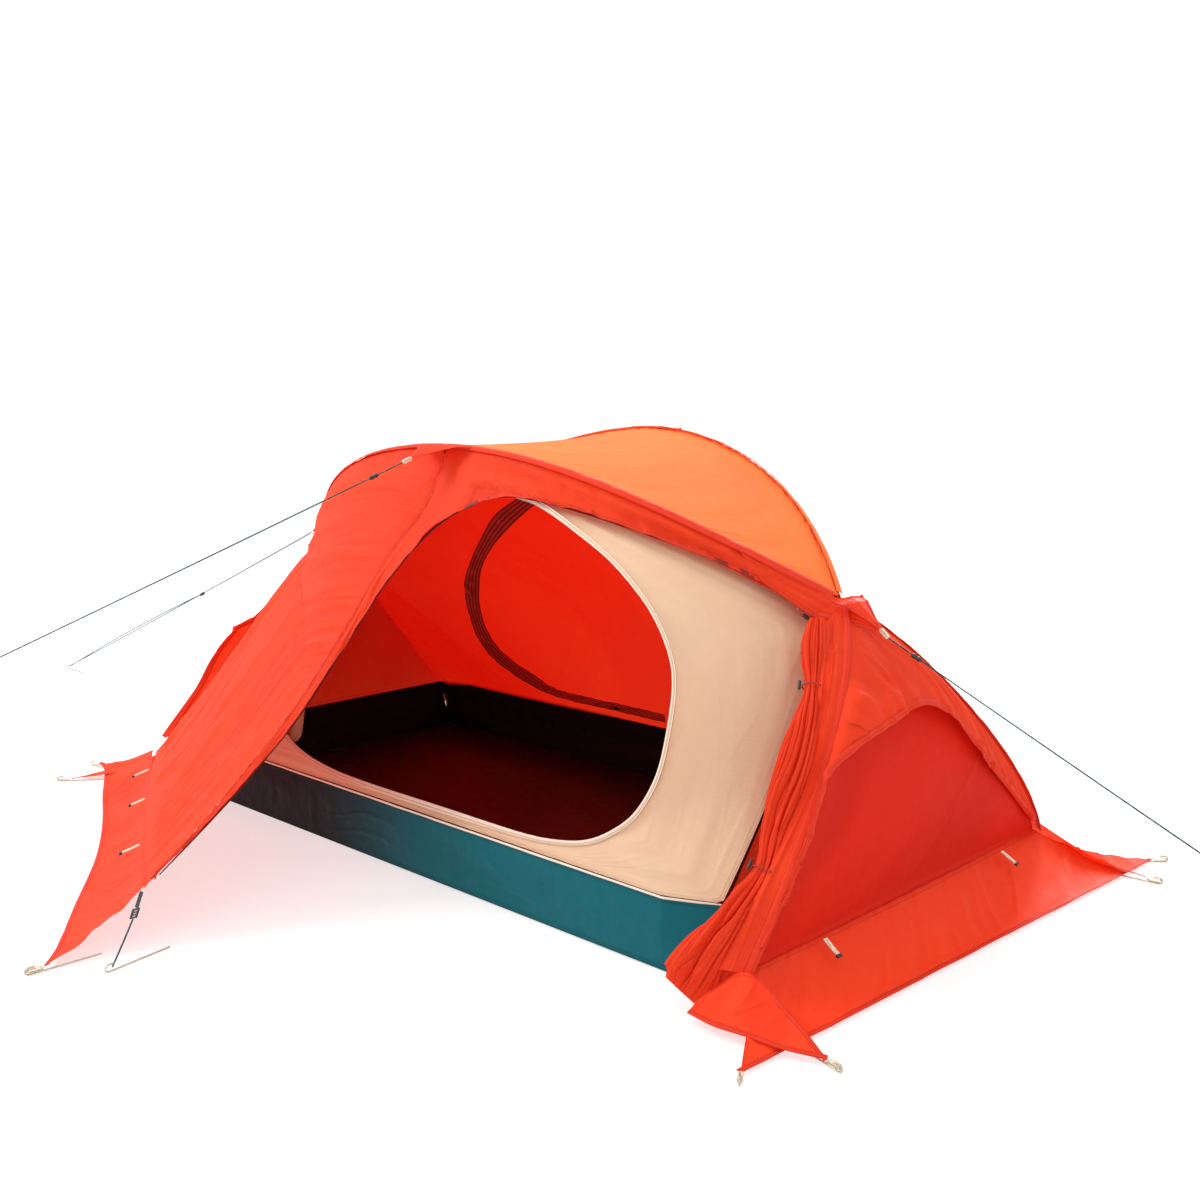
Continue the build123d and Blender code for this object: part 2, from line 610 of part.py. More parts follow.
def wall_rear(n, m):
    R = resample(in_rim(False), n, 0.02, 0.98)
    base = np.array([(r[0] * 1.0, 0, 0) for r in R])
    t = np.linspace(0.02, 0.98, n)
    base = resample([(-TUB_X, TUB_Y, TUB_H + 4), (-960, FLOOR_W / 2 - 1, TUB_H + 4), (960, FLOOR_W / 2 - 1, TUB_H + 4),
                     (TUB_X, TUB_Y, TUB_H + 4)], n, 0.01, 0.99)
    L = np.linalg.norm(base - R, axis=1)
    return np.array([[R[i] + (base[i] - R[i]) * (3.0 / max(L[i], 12) + (1 - 3.0 / max(L[i], 12)) * j / (m - 1)) for j in range(m)]
                     for i in range(n)])


def wall_end(x, n, m):
    t = np.linspace(0.06, 0.985, n)
    a, b = in_leg("F" + x, t), in_leg("B" + x, t)
    L = np.linalg.norm(b - a, axis=1)
    return np.array([[a[i] + (b[i] - a[i]) * (4 / L[i] + (1 - 8 / L[i]) * j / (m - 1)) for j in range(m)] for i in range(n)])


node("inner_front_wall", skin(wall_ring(64, 4), CLOTH, ring=True))
node("inner_rear_wall", skin(wall_rear(23, 6)))
node("inner_ends", [skin(wall_end(x, 9, 6)) for x in "LR"])
node("inner_roof", skin(roof(13, 5, in_front_arch, in_rear_arch, 0.96, 22.0, 4.0)))
node("tub_floor", place(Box(FLOOR_L - 6, FLOOR_W - 6, CLOTH, align=(Align.CENTER, Align.CENTER, Align.MIN)), (0, 0, 0)))
l, w2 = FLOOR_L / 2 - 1, FLOOR_W / 2 - 1


def tub_side(low, top, n=9):
    a, b = resample(low, n), resample(top, n)
    return np.array([[a[i] + (b[i] - a[i]) * w for w in (0.0, 0.5, 1.0)] for i in range(n)])


T = TUB_H
tub = []
for s in (-1, 1):
    tub.append(skin(tub_side([(-l + 3, s * w2, 2.5), (l - 3, s * w2, 2.5)],
                             [(-TUB_X + 3, s * TUB_Y, T), (-960, s * w2, T), (960, s * w2, T), (TUB_X - 3, s * TUB_Y, T)], 13)))
    tub.append(skin(tub_side([(s * l, -w2 + 4, 2.5), (s * l, w2 - 4, 2.5)], [(s * TUB_X, -TUB_Y + 4, T), (s * TUB_X, TUB_Y - 4, T)], 5)))
node("tub_walls", tub)

# zip tape round the inner door opening, on the outside of the wall
DD = np.array([(x, front_wall_y(z), z) for x, z in DOOR_D], float)
DD = resample(smooth(np.vstack([DD, DD[:1]]), 580), 61)[:-1]
cD = DD.mean(0)
out = DD - cD
out /= np.linalg.norm(out, axis=1, keepdims=True)
OFFW = V3(0, -0.973, 0.231)
node("inner_door_zip", skin(np.array([[p + o * 3 + OFFW * 4.2, p + o * 14 + OFFW * 4.2] for p, o in zip(DD, out)]), 1.2, ring=True))
WR = wall_rear(240, 60)


def on_rear_wall(x, z, off):
    d = (WR[..., 0] - x) ** 2 + (WR[..., 2] - z) ** 2
    i = np.unravel_index(d.argmin(), d.shape)
    return V3(x, WR[i][1] - off, z)


RZ = np.array([[on_rear_wall(*a, 9), on_rear_wall(*b, 9)] for a, b in REAR_ZIP], float)
ra, rb = resample(smooth(RZ[:, 0], 200), 26), resample(smooth(RZ[:, 1], 200), 26)
node("rear_door_zip", skin(np.stack([ra, rb], 1), 1.2))


def slider(at, along, out_, size=(16, 9, 4)):
    along, out_ = V3(*along), V3(*out_)
    out_ = out_ - along * (along @ out_) / (along @ along)
    s = Box(*size) + Pos(size[0] / 2 + 8, 0, 0.4) * (Box(22, 5, 1.6) - Pos(6, 0, 0) * Cylinder(1.5, 3))
    return place(s, at, out_, along)


# sliders: each rides just off its zip
zd = V3(885, -116, 811) - V3(1000, -78, 738)
zd /= np.linalg.norm(zd)
ZN = V3(0.25, -0.86, -0.44)
node("door_zip_slider", slider(V3(990, -82, 745) + ZN * 9, -zd, ZN))
rd = V3(0, 1180 - 1300, 251 - 134.0)
rd /= np.linalg.norm(rd)
node("rear_zip_slider", slider(V3(0, 1290, 144) + V3(0, 0.70, 0.715) * 13.5, rd, (0, 0.70, 0.715)))
di = V3(-622, front_wall_y(430), 430)
node("inner_zip_slider", slider(di + V3(-8, 0, 0) + OFFW * 8.6, (0.0, 0.231, 0.973), OFFW))
node("rear_inner_slider", slider(on_rear_wall(-203, 210, 20), (-1, 0, 0), (0, -1, 0)))

# fly door zip tape, inside the free edge of the band
E = resample(smooth(OPEN_EDGE, 500), 42, 0.0, 0.985)
TE = np.gradient(E, axis=0)
O_, I_ = band_lines(42)
inn = []
for e in E:
    k = int(np.argmin(np.linalg.norm(I_ - e, axis=1)))
    d = O_[k] - I_[k]
    inn.append(d / max(np.linalg.norm(d), 1e-6))
inn = np.array(inn)
NE = np.cross(TE, inn)
NE /= np.linalg.norm(NE, axis=1, keepdims=True)
NE *= np.sign((NE * (V3(0, 0, 300) - E)).sum(1))[:, None]
room = np.minimum(12.0, 0.45 * np.array([np.linalg.norm(O_[int(np.argmin(np.linalg.norm(I_ - e, axis=1)))] - e) for e in E]))
node("fly_door_zip", skin(np.array([[e + n * 4, e + n * 4 + d * max(r, 4)] for e, n, d, r in zip(E, NE, inn, room)]), 1.2))
SR = resample(smooth(SEAM_R, 300), 20, 0.10, 0.97)
TR = np.gradient(SR, axis=0)
TR /= np.linalg.norm(TR, axis=1, keepdims=True)
NR = np.cross(TR, V3(1, 0, 0))
NR *= np.sign(NR[:, 1:2])
node("rear_zip_flap", skin(np.array([[p + n * 7 - V3(20, 0, 0), p + n * 7 + V3(20, 0, 0)] for p, n in zip(SR, NR)]), 1.2))

# rolled inner door, held at the left of its opening
node("inner_door_roll", loft_skin([[V3(x, y, z) + V3(r * np.cos(a), r * 0.8 * np.sin(a), 0)
                                    for a in np.linspace(0, 2 * np.pi, 12, endpoint=False)]
                                   for x, y, z, r in ((-640, -436, 205, 16), (-644, -430, 230, 28), (-648, -410, 330, 32), (-636, -380, 440, 31),
                                                      (-612, -342, 560, 28), (-580, -306, 670, 26), (-560, -290, 715, 14))]))
node("inner_door_ties", [place(Torus(35, 1.8), (-647, -405, 350), (0, 0.26, 0.96)), place(Torus(32, 1.8), (-611, -340, 565), (0.27, 0.3, 0.9))])

# hooks that hang the inner tent from the poles
hooks = []
for w, arch in (("B", in_front_arch), ("A", in_rear_arch)):
    L_ = lines[w]
    for u in (-0.8, -0.53, -0.27, 0.0, 0.27, 0.53, 0.8):
        p = arch(u)
        k = int(np.argmin(np.linalg.norm(L_ - p, axis=1)))
        q, t = L_[k], L_[k + 1] - L_[k - 1]
        t /= np.linalg.norm(t)
        d = q - p
        d /= np.linalg.norm(d)
        hooks.append(place(Torus(6.6, 1.5), q, t))
        hooks.append(rod(p + d * 4, q - d * 8.2, 1.6))
node("inner_hooks", hooks)

# ---- guy points, lines and runners
TABS = {"front": ((0, -352, 1118), (0, -466, 1076), (1, 0, 0), 95), "right": ((1046, 0, 782), (1134, 0, 708), (0, 1, 0), 60),
        "left": ((-1046, 0, 786), (-1128, 0, 761), (0, 1, 0), 60), "rear": ((0, 492, 1143), (0, 596, 1096), (1, 0, 0), 95)}
tabs, loops = [], []
for k, (a, b, s, w) in TABS.items():
    a, b, s = V3(*a), V3(*b), V3(*s)
    n_ = np.cross(b - a, s)
    n_ /= np.linalg.norm(n_)
    if n_[2] < 0:
        n_ = -n_
    G = np.array([[a + (b - a) * t + s * (w * (1 - t) ** 1.4 + 7) * v + n_ * 12 for v in (-1, -0.33, 0.33, 1)] for t in (0.05, 0.35, 0.7, 0.97)])
    tabs.append(skin(G))
    d = (b - a) / np.linalg.norm(b - a)
    loops.append(loop_ring(b + n_ * 12 - d * 2, b + n_ * 12 + d * 26, 9, 4.0, 1.4))
node("guy_tabs", tabs)
node("guy_loops", loops)
START = {k: V3(*b) + np.array([0, 0, 0]) for k, (a, b, s, w) in TABS.items()}


def tab_end(k):
    a, b, s, w = TABS[k]
    a, b, s = V3(*a), V3(*b), V3(*s)
    n_ = np.cross(b - a, s)
    n_ /= np.linalg.norm(n_)
    if n_[2] < 0:
        n_ = -n_
    return b + n_ * 12 + (b - a) / np.linalg.norm(b - a) * 27.8


ANCHOR = {"front": V3(-1750, -1945, 8), "right": V3(2550, 117, 8), "left": V3(-3100, 0, 8)}
RUNNER_AT = {"front": 85.0, "right": 80.0, "left": 800.0}


def line_route(k):
    """Three points: the loop, a slack middle and the peg."""
    a, b = tab_end(k), ANCHOR[k]
    f = 0.62 if k == "left" else 0.5
    m = a + (b - a) * f + V3(0, 0, -9)
    return [a, m, b]


def cord_tube(pts, d):
    pts = [np.asarray(p, float) for p in pts]
    rad = []
    for a, b, c in zip(pts, pts[1:], pts[2:]):
        u, v = (b - a), (c - b)
        turn = np.arccos(np.clip((u @ v) / np.linalg.norm(u) / np.linalg.norm(v), -1, 1))
        rad.append(0.45 * min(np.linalg.norm(u), np.linalg.norm(v)) / np.tan(turn / 2))
    print("   radii", [round(float(r)) for r in rad])
    path = FilletPolyline(*[vec(p) for p in pts], radius=rad) if rad else Line(vec(pts[0]), vec(pts[1]))
    s = sweep(Plane(origin=path @ 0, z_dir=path % 0) * Circle(d / 2), path=path)
    print("   length", round(path.length, 1), "volume/section", round(s.volume / (np.pi * d * d / 4), 1))
    return s


for k in ("front", "left", "right"):
    pts = line_route(k)
    node("guyline_" + k, cord_tube(pts, LINE_D))
    a, m = pts[0], pts[1]
    d = (m - a) / np.linalg.norm(m - a)
    c = a + d * RUNNER_AT[k]
    body = Cylinder(5.0, 24) + Pos(0, 0, 7) * Sphere(6.2) + Pos(0, 0, -7) * Sphere(6.2)
    body = body - Cylinder(LINE_D / 2 + RUN_FIT, 60)
    node("runner_" + k, place(body, c, d))
    print("   runner", k, c.round(1), "axis", d.round(5))
c = RUNNER_AT["left"]
a, m, b = line_route("left")
d = (m - a) / np.linalg.norm(m - a)
start = a + d * (c + 16) + V3(0, 6, 4)
node("guyline_left_return", cord_tube([start, (start + b) / 2 + V3(0, 14, 22), b + V3(14, 8, 6)], LINE_D))
node("guy_pegs", [peg((ANCHOR[k][0], ANCHOR[k][1]), (ANCHOR[k][0] * 0.5, ANCHOR[k][1] * 0.5)) for k in ("front", "right", "left")])

# ---- vestibule tips: strap, ladder buckle, cord and peg
straps, buckles = [], []
for s, y0, name in ((-1, 1279, "front"), (1, 1307, "rear")):
    a, b = V3(2 * -s, s * y0, 128), V3(20 * -s, s * (y0 + 24), 100)
    straps.append(skin(np.array([[a + (b - a) * t + V3(-7, 0, 0), a + (b - a) * t + V3(7, 0, 0)] for t in (0, 0.5, 1)]), 1.4))
    d = (b - a) / np.linalg.norm(b - a)
    c = b + d * 13.4
    n_ = np.cross(d, V3(1, 0, 0))
    n_ /= np.linalg.norm(n_)
    bk = Box(24, 22, 3.6) - Pos(-6.2, 0, 0) * Box(4.2, 15, 8) - Pos(0.2, 0, 0) * Box(4.2, 15, 8) - Pos(6.6, 0, 0) * Box(4.2, 15, 8)
    buckles.append(place(bk, c, n_, d))
    e = c + d * 14
    peg_at = V3(-s * 86, s * (y0 + 121), 9)
    mid = (e + peg_at) / 2 + V3(0, 0, -2.5)
    node("tip_cord_" + name, cord_tube([e, mid, peg_at], 4.0))
    print("   tip", name, e.round(1), mid.round(1), peg_at.round(1))
node("tip_straps", straps)
node("tip_buckles", buckles)

# ---- pegs and the webbing loops they hold
CORNERS = [((1379, -805), (1232, -588)), ((1451, 888), (1224, 690)), ((-1389, -797), (-1224, -584)), ((-1451, 888), (-1224, 690)),
           ((1470, -656), (1250, -600)), ((-1478, -655), (-1250, -606)), ((1500, 733), (1250, 712)), ((-1500, 733), (-1250, 712)),
           ((-20, -1506), (-12, -1276)), ((0, 1506), (0, 1304))]
pegs, webs = [], []
for (x, y), (ix, iy) in CORNERS:
    d = V3(x - ix, y - iy, 0)
    d /= np.linalg.norm(d)
    z = 10.0
    at = V3(x, y, 0) + d * 34
    pegs.append(peg((at[0], at[1]), (ix, iy)))
    webs.append(loop_ring(V3(x, y, z) + d * 3, V3(x, y, z) + d * 38, 10, 3.6, 1.2))
for s, y0 in ((-1, 1279), (1, 1307)):
    pegs.append(peg((-s * 90, s * (y0 + 132)), (-s * 60, s * (y0 - 40))))
node("ground_pegs", pegs)
node("peg_loops", webs)

# ---- cream pull tabs along the skirt seams, with black ends
PULLS = [((-982, -730, 92), (-0.45, -0.80, -0.35)), ((-692, -892, 100), (-0.45, -0.80, -0.35)), ((-275, -1132, 122), (-0.45, -0.80, -0.35)),
         ((1240, -349, 84), (0.8, -0.1, -0.5)), ((1240, 428, 84), (0.8, 0.1, -0.5)), ((-1240, -349, 84), (-0.8, -0.1, -0.5)), ((-1240, 428, 84), (-0.8, 0.1, -0.5)),
         ((-800, 922, 106), (-0.4, 0.8, -0.4)), ((800, 922, 106), (0.4, 0.8, -0.4)), ((-275, 1168, 126), (-0.4, 0.8, -0.4)), ((275, 1168, 126), (0.4, 0.8, -0.4))]
pulls, ends = [], []
for p, d in PULLS:
    p, d = V3(*p), V3(*d)
    d /= np.linalg.norm(d)
    s = np.cross(d, V3(0, 0, 1))
    s /= np.linalg.norm(s)
    n_ = np.cross(s, d)
    p = p + n_ * 16
    pulls.append(skin(np.array([[p + d * t - s * 6, p + d * t + s * 6] for t in (0, 22, 44)]), 2.2))
    ends.append(place(Box(7, 15, 5), p + d * 48.4, n_, d))
node("pull_tabs", pulls)
node("pull_tab_ends", ends)

# ---- ties that hold the gathered door, their toggles, and the webbing loop above them
ties, togs = [], []
for i, (g, r) in enumerate(((3, 24.0), (7, 33.0))):
    c = V3(*GATHER[g][0])
    t = V3(*GATHER[g + 1][0]) - V3(*GATHER[g - 1][0])
    t /= np.linalg.norm(t)
    ties.append(place(Torus(r, 1.6), c, t))
    o = V3(-0.62, -0.78, 0)
    o -= t * (o @ t)
    o /= np.linalg.norm(o)
    at = c + o * (r + 6.6)
    body = place(Cylinder(3.6, 17) + Pos(0, 0, 8.5) * Sphere(3.6) + Pos(0, 0, -8.5) * Sphere(3.6), at, t)
    body -= place(Cylinder(1.4, 14), at, o)              # hole for its cord
    node("door_toggle_" + ("upper" if i == 0 else "lower"), body)
    print("   toggle", at.round(1), "axis", o.round(4))
ties.append(place(Torus(11, 1.8), (1012, -142, 760), (0.6, 0.5, 0.6)))     # webbing loop the door hangs from
node("door_ties", ties)
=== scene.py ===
import bpy
import numpy as np
from mathutils import Matrix, Vector


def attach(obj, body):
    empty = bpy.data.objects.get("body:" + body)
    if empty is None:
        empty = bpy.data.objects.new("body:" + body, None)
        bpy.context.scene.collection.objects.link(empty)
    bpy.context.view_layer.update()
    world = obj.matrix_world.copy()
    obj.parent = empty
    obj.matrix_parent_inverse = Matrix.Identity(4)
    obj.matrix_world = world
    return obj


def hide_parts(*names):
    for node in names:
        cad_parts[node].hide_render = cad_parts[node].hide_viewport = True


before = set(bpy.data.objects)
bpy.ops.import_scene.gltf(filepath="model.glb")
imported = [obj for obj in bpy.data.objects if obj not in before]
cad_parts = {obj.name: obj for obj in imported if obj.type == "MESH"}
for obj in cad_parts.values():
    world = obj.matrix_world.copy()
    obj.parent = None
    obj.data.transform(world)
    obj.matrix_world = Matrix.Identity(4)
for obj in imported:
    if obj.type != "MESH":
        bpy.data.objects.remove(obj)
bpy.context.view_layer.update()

QUICK = 1.0
scene = bpy.context.scene
scene.view_settings.view_transform = "Standard"
scene.view_settings.look = "None"

# ---------------------------------------------------------------- camera
F = np.array([-0.68661, 0.70953, -0.15902])
R = np.array([0.71863, 0.69536, 0.0])
F = F / np.linalg.norm(F)
R = R - F * (R @ F)
R = R / np.linalg.norm(R)
D = np.cross(F, R)
cam = bpy.data.objects.new("camera", bpy.data.cameras.new("camera"))
scene.collection.objects.link(cam)
cam.data.sensor_width = 36.0
cam.data.lens = 1389.8356 / 1200 * 36
cam.data.clip_start, cam.data.clip_end = 0.05, 80
cam.matrix_world = Matrix(((R[0], -D[0], -F[0], 2.8818), (R[1], -D[1], -F[1], -2.7382), (R[2], -D[2], -F[2], 1.2988), (0, 0, 0, 1)))
scene.camera = cam

# ---------------------------------------------------------------- node helpers
def new_mat(name):
    m = bpy.data.materials.new(name)
    m.use_nodes = True
    nt = m.node_tree
    for n in list(nt.nodes):
        nt.nodes.remove(n)
    return m, nt


def N(nt, kind, **kw):
    n = nt.nodes.new(kind)
    for k, v in kw.items():
        if k == "ins":
            for a, b in v.items():
                if hasattr(b, "is_output") or hasattr(b, "links"):
                    nt.links.new(b, n.inputs[a])
                else:
                    n.inputs[a].default_value = b
        else:
            setattr(n, k, v)
    return n


def math(nt, op, a, b=0.0, clamp=False):
    n = nt.nodes.new("ShaderNodeMath")
    n.operation = op
    n.use_clamp = clamp
    for i, v in enumerate((a, b)):
        if hasattr(v, "links"):
            nt.links.new(v, n.inputs[i])
        else:
            n.inputs[i].default_value = v
    return n.outputs[0]


def mixc(nt, fac, a, b, mode="MIX"):
    n = nt.nodes.new("ShaderNodeMix")
    n.data_type = "RGBA"
    n.blend_type = mode
    for s, v in ((n.inputs[0], fac), (n.inputs[6], a), (n.inputs[7], b)):
        if hasattr(v, "links"):
            nt.links.new(v, s)
        else:
            s.default_value = v if not isinstance(v, (tuple, list)) else (*v[:3], 1.0)
    return n.outputs[2]


def ramp(nt, fac, lo_, hi_):
    n = nt.nodes.new("ShaderNodeMapRange")
    nt.links.new(fac, n.inputs[0])
    n.inputs[1].default_value, n.inputs[2].default_value = lo_
    n.inputs[3].default_value, n.inputs[4].default_value = hi_
    return n.outputs[0]


def attr(nt, name):
    n = nt.nodes.new("ShaderNodeAttribute")
    n.attribute_name = name
    return n.outputs["Fac"]


def cloth_mat(name, col, dark, rough=0.55, trans=0.0, tint=None, weave=1.6, rip=7.0, sheen=0.0, shade_col=None, spec=0.35, bump=1.0):
    """Woven cloth: threads and a ripstop grid, seams sewn by the edges, painted shade that darkens the folds and
    creases, faint wear.
    """
    m, nt = new_mat(name)
    uv = N(nt, "ShaderNodeUVMap", uv_map="cut").outputs[0]
    sep = N(nt, "ShaderNodeSeparateXYZ", ins={0: uv})
    u, v = sep.outputs[0], sep.outputs[1]
    obj = N(nt, "ShaderNodeTexCoord").outputs["Object"]
    big = N(nt, "ShaderNodeTexNoise", ins={"Vector": obj, "Scale": 2.3, "Detail": 3.0, "Roughness": 0.55}).outputs[0]
    fine = N(nt, "ShaderNodeTexNoise", ins={"Vector": obj, "Scale": 38.0, "Detail": 4.0, "Roughness": 0.6}).outputs[0]
    # threads
    tu = math(nt, "SINE", math(nt, "MULTIPLY", u, 6.28318 * 1000 / weave))
    tv = math(nt, "SINE", math(nt, "MULTIPLY", v, 6.28318 * 1000 / weave))
    th = math(nt, "MULTIPLY", tu, tv)
    # ripstop grid, a heavier thread every few millimetres
    def grid_line(c):
        f = math(nt, "FRACT", math(nt, "MULTIPLY", c, 1000 / rip))
        return math(nt, "LESS_THAN", math(nt, "ABSOLUTE", math(nt, "SUBTRACT", f, 0.5)), 0.07)
    gl = math(nt, "MAXIMUM", grid_line(u), grid_line(v))
    # sewn hem and seam: two rows of stitches beside each border, and the step of the folded allowance
    e = attr(nt, "edge")
    def row(at, w):
        return math(nt, "LESS_THAN", math(nt, "ABSOLUTE", math(nt, "SUBTRACT", e, at)), w)
    dash = math(nt, "LESS_THAN", math(nt, "FRACT", math(nt, "MULTIPLY", math(nt, "ADD", u, v), 1000 / 4.2)), 0.68)
    st = math(nt, "MULTIPLY", math(nt, "MAXIMUM", row(0.003, 0.0007), row(0.0105, 0.0007)), dash)
    hem = ramp(nt, e, (0.0118, 0.0138), (1.0, 0.0))
    fold_shade = attr(nt, "fold_shade")
    c0 = mixc(nt, ramp(nt, big, (0.3, 0.7), (0.0, 1.0)), col, tuple(x * 0.93 + y * 0.07 for x, y in zip(col, dark)))
    # painted shade: cloth pushed in by folds and creases (fold_shade below zero) is darkened towards the dark colour,
    # up to 42 per cent; flat cloth gets about 8 per cent
    c1 = mixc(nt, ramp(nt, fold_shade, (-1.0, 0.25), (0.42, 0.0)), c0, dark)
    c2 = mixc(nt, ramp(nt, fine, (0.35, 0.75), (0.0, 0.10)), c1, dark)
    c3 = mixc(nt, math(nt, "MULTIPLY", gl, 0.10), c2, dark)
    c4 = mixc(nt, math(nt, "MULTIPLY", hem, 0.16), c3, dark)
    c5 = mixc(nt, math(nt, "MULTIPLY", st, 0.55), c4, tuple(x * 0.6 for x in dark))
    # painted shade: mixed towards the near-black shade_col by the tone attribute
    if shade_col:
        c5 = mixc(nt, attr(nt, "tone"), c5, shade_col)
    rg = ramp(nt, fine, (0.2, 0.8), (rough - 0.06, rough + 0.10))
    h = math(nt, "ADD", math(nt, "MULTIPLY", th, 0.00005), math(nt, "MULTIPLY", gl, 0.00010))
    h = math(nt, "ADD", h, math(nt, "MULTIPLY", hem, 0.0007))
    h = math(nt, "SUBTRACT", h, math(nt, "MULTIPLY", st, 0.0005))
    h = math(nt, "ADD", h, math(nt, "MULTIPLY", fine, 0.0016))
    bp = N(nt, "ShaderNodeBump", ins={"Height": h, "Strength": 0.55 * bump, "Distance": 1.0}).outputs[0]
    p = N(nt, "ShaderNodeBsdfPrincipled", ins={"Base Color": c5, "Roughness": rg, "Normal": bp})
    p.inputs["Specular IOR Level"].default_value = spec
    p.inputs["Sheen Weight"].default_value = sheen
    p.inputs["Sheen Roughness"].default_value = 0.5
    out = N(nt, "ShaderNodeOutputMaterial")
    if trans:
        t = N(nt, "ShaderNodeBsdfTranslucent", ins={"Color": mixc(nt, 1.0, c5, tint or (1, 1, 1), "MULTIPLY"), "Normal": bp})
        mx = N(nt, "ShaderNodeMixShader", ins={0: trans, 1: p.outputs[0], 2: t.outputs[0]})
        nt.links.new(mx.outputs[0], out.inputs[0])
    else:
        nt.links.new(p.outputs[0], out.inputs[0])
    return m


def braid_mat(name, col, flecks, pitch=5.0, rough=0.6):
    m, nt = new_mat(name)
    obj = N(nt, "ShaderNodeTexCoord").outputs["Object"]
    w1 = N(nt, "ShaderNodeTexWave", bands_direction="DIAGONAL", ins={"Vector": obj, "Scale": 1000 / pitch / 6.28, "Distortion": 0.4}).outputs[1]
    fl = N(nt, "ShaderNodeTexNoise", ins={"Vector": obj, "Scale": 160.0, "Detail": 2.0}).outputs[0]
    c = mixc(nt, ramp(nt, w1, (0.2, 0.8), (0.0, 0.7)), col, tuple(x * 0.5 for x in col))
    c = mixc(nt, ramp(nt, fl, (0.54, 0.60), (0.0, 0.8)), c, flecks)
    bp = N(nt, "ShaderNodeBump", ins={"Height": w1, "Strength": 0.5, "Distance": 0.0006}).outputs[0]
    p = N(nt, "ShaderNodeBsdfPrincipled", ins={"Base Color": c, "Roughness": ramp(nt, w1, (0, 1), (rough, rough + 0.15)), "Normal": bp})
    nt.links.new(p.outputs[0], N(nt, "ShaderNodeOutputMaterial").inputs[0])
    return m


def hard_mat(name, col, dark, rough, metal=0.0, scale=60.0, grain=0.0003, stretch=None, wear=0.15):
    m, nt = new_mat(name)
    obj = N(nt, "ShaderNodeTexCoord").outputs["Object"]
    if stretch:
        obj = N(nt, "ShaderNodeMapping", ins={"Vector": obj, "Scale": stretch}).outputs[0]
    n1 = N(nt, "ShaderNodeTexNoise", ins={"Vector": obj, "Scale": scale, "Detail": 5.0, "Roughness": 0.6}).outputs[0]
    n2 = N(nt, "ShaderNodeTexNoise", ins={"Vector": obj, "Scale": scale * 9, "Detail": 2.0}).outputs[0]
    c = mixc(nt, ramp(nt, n1, (0.35, 0.7), (0.0, wear * 3)), col, dark)
    bp = N(nt, "ShaderNodeBump", ins={"Height": n2, "Strength": 0.35, "Distance": grain}).outputs[0]
    p = N(nt, "ShaderNodeBsdfPrincipled", ins={"Base Color": c, "Roughness": ramp(nt, n1, (0.3, 0.7), (rough - 0.06, rough + 0.12)), "Normal": bp})
    p.inputs["Metallic"].default_value = metal
    nt.links.new(p.outputs[0], N(nt, "ShaderNodeOutputMaterial").inputs[0])
    return m


RED = (0.93, 0.064, 0.016)
RED_D = (0.66, 0.022, 0.005)
M = {}
M["guy"] = braid_mat("guy_braid", (0.004, 0.036, 0.028), (0.02, 0.20, 0.11))
M["tipcord"] = braid_mat("tip_cord_braid", (0.012, 0.045, 0.045), (0.03, 0.16, 0.16), 6.0)

# ---------------------------------------------------------------- cords, first
CORDS = {
    "guyline_front": ([(0.000000, -0.496234, 1.077650), (-0.875000, -1.220617, 0.533825), (-1.750000, -1.945000, 0.008000)], 0.0036, "guy", 2.511),
    "guyline_right": ([(1.163000, 0.000000, 0.699292), (1.856500, 0.058500, 0.344646), (2.550000, 0.117000, 0.008000)], 0.0036, "guy", 1.554),
    "guyline_left": ([(-1.158091, 0.000000, 0.764371), (-2.362075, 0.000000, 0.286421), (-3.100000, 0.000000, 0.008000)], 0.0036, "guy", 2.084),
    "guyline_left_return": ([(-1.916517, 0.006000, 0.467296), (-2.508258, 0.017000, 0.259648), (-3.086000, 0.008000, 0.014000)], 0.0036, "guy", 1.255),
    "tip_cord_front": ([(0.032019, -1.319025, 0.081304), (0.059009, -1.359512, 0.042652), (0.086000, -1.400000, 0.009000)], 0.004, "tipcord", 0.121),
    "tip_cord_rear": ([(-0.032019, 1.347025, 0.081304), (-0.059009, 1.387512, 0.042652), (-0.086000, 1.428000, 0.009000)], 0.004, "tipcord", 0.121),
}


def rope(name, pts, d, mat, node):
    c = bpy.data.curves.new(name, "CURVE")
    c.dimensions = "3D"
    s = c.splines.new("NURBS")
    s.points.add(len(pts) - 1)
    for p, q in zip(s.points, pts):
        p.co = (*q, 1.0)
    s.order_u = 3
    s.use_endpoint_u = True
    s.resolution_u = 24
    c.bevel_depth = d / 2
    c.bevel_resolution = 4
    c.use_fill_caps = True
    o = bpy.data.objects.new(name, c)
    scene.collection.objects.link(o)
    c.materials.append(M[mat])
    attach(o, "tent")
    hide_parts(node)
    return o
for k, (pts, dia, mt, L) in CORDS.items():
    rope(k + "_cord", pts, dia, mt, k)
peg_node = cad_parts["guy_pegs"]

# ================================================================ shape of the cloth, in millimetres
TUB_H, FLOOR_L, FLOOR_W, SEAM_GAP = 170.0, 2200.0, 1113.0, 6.0

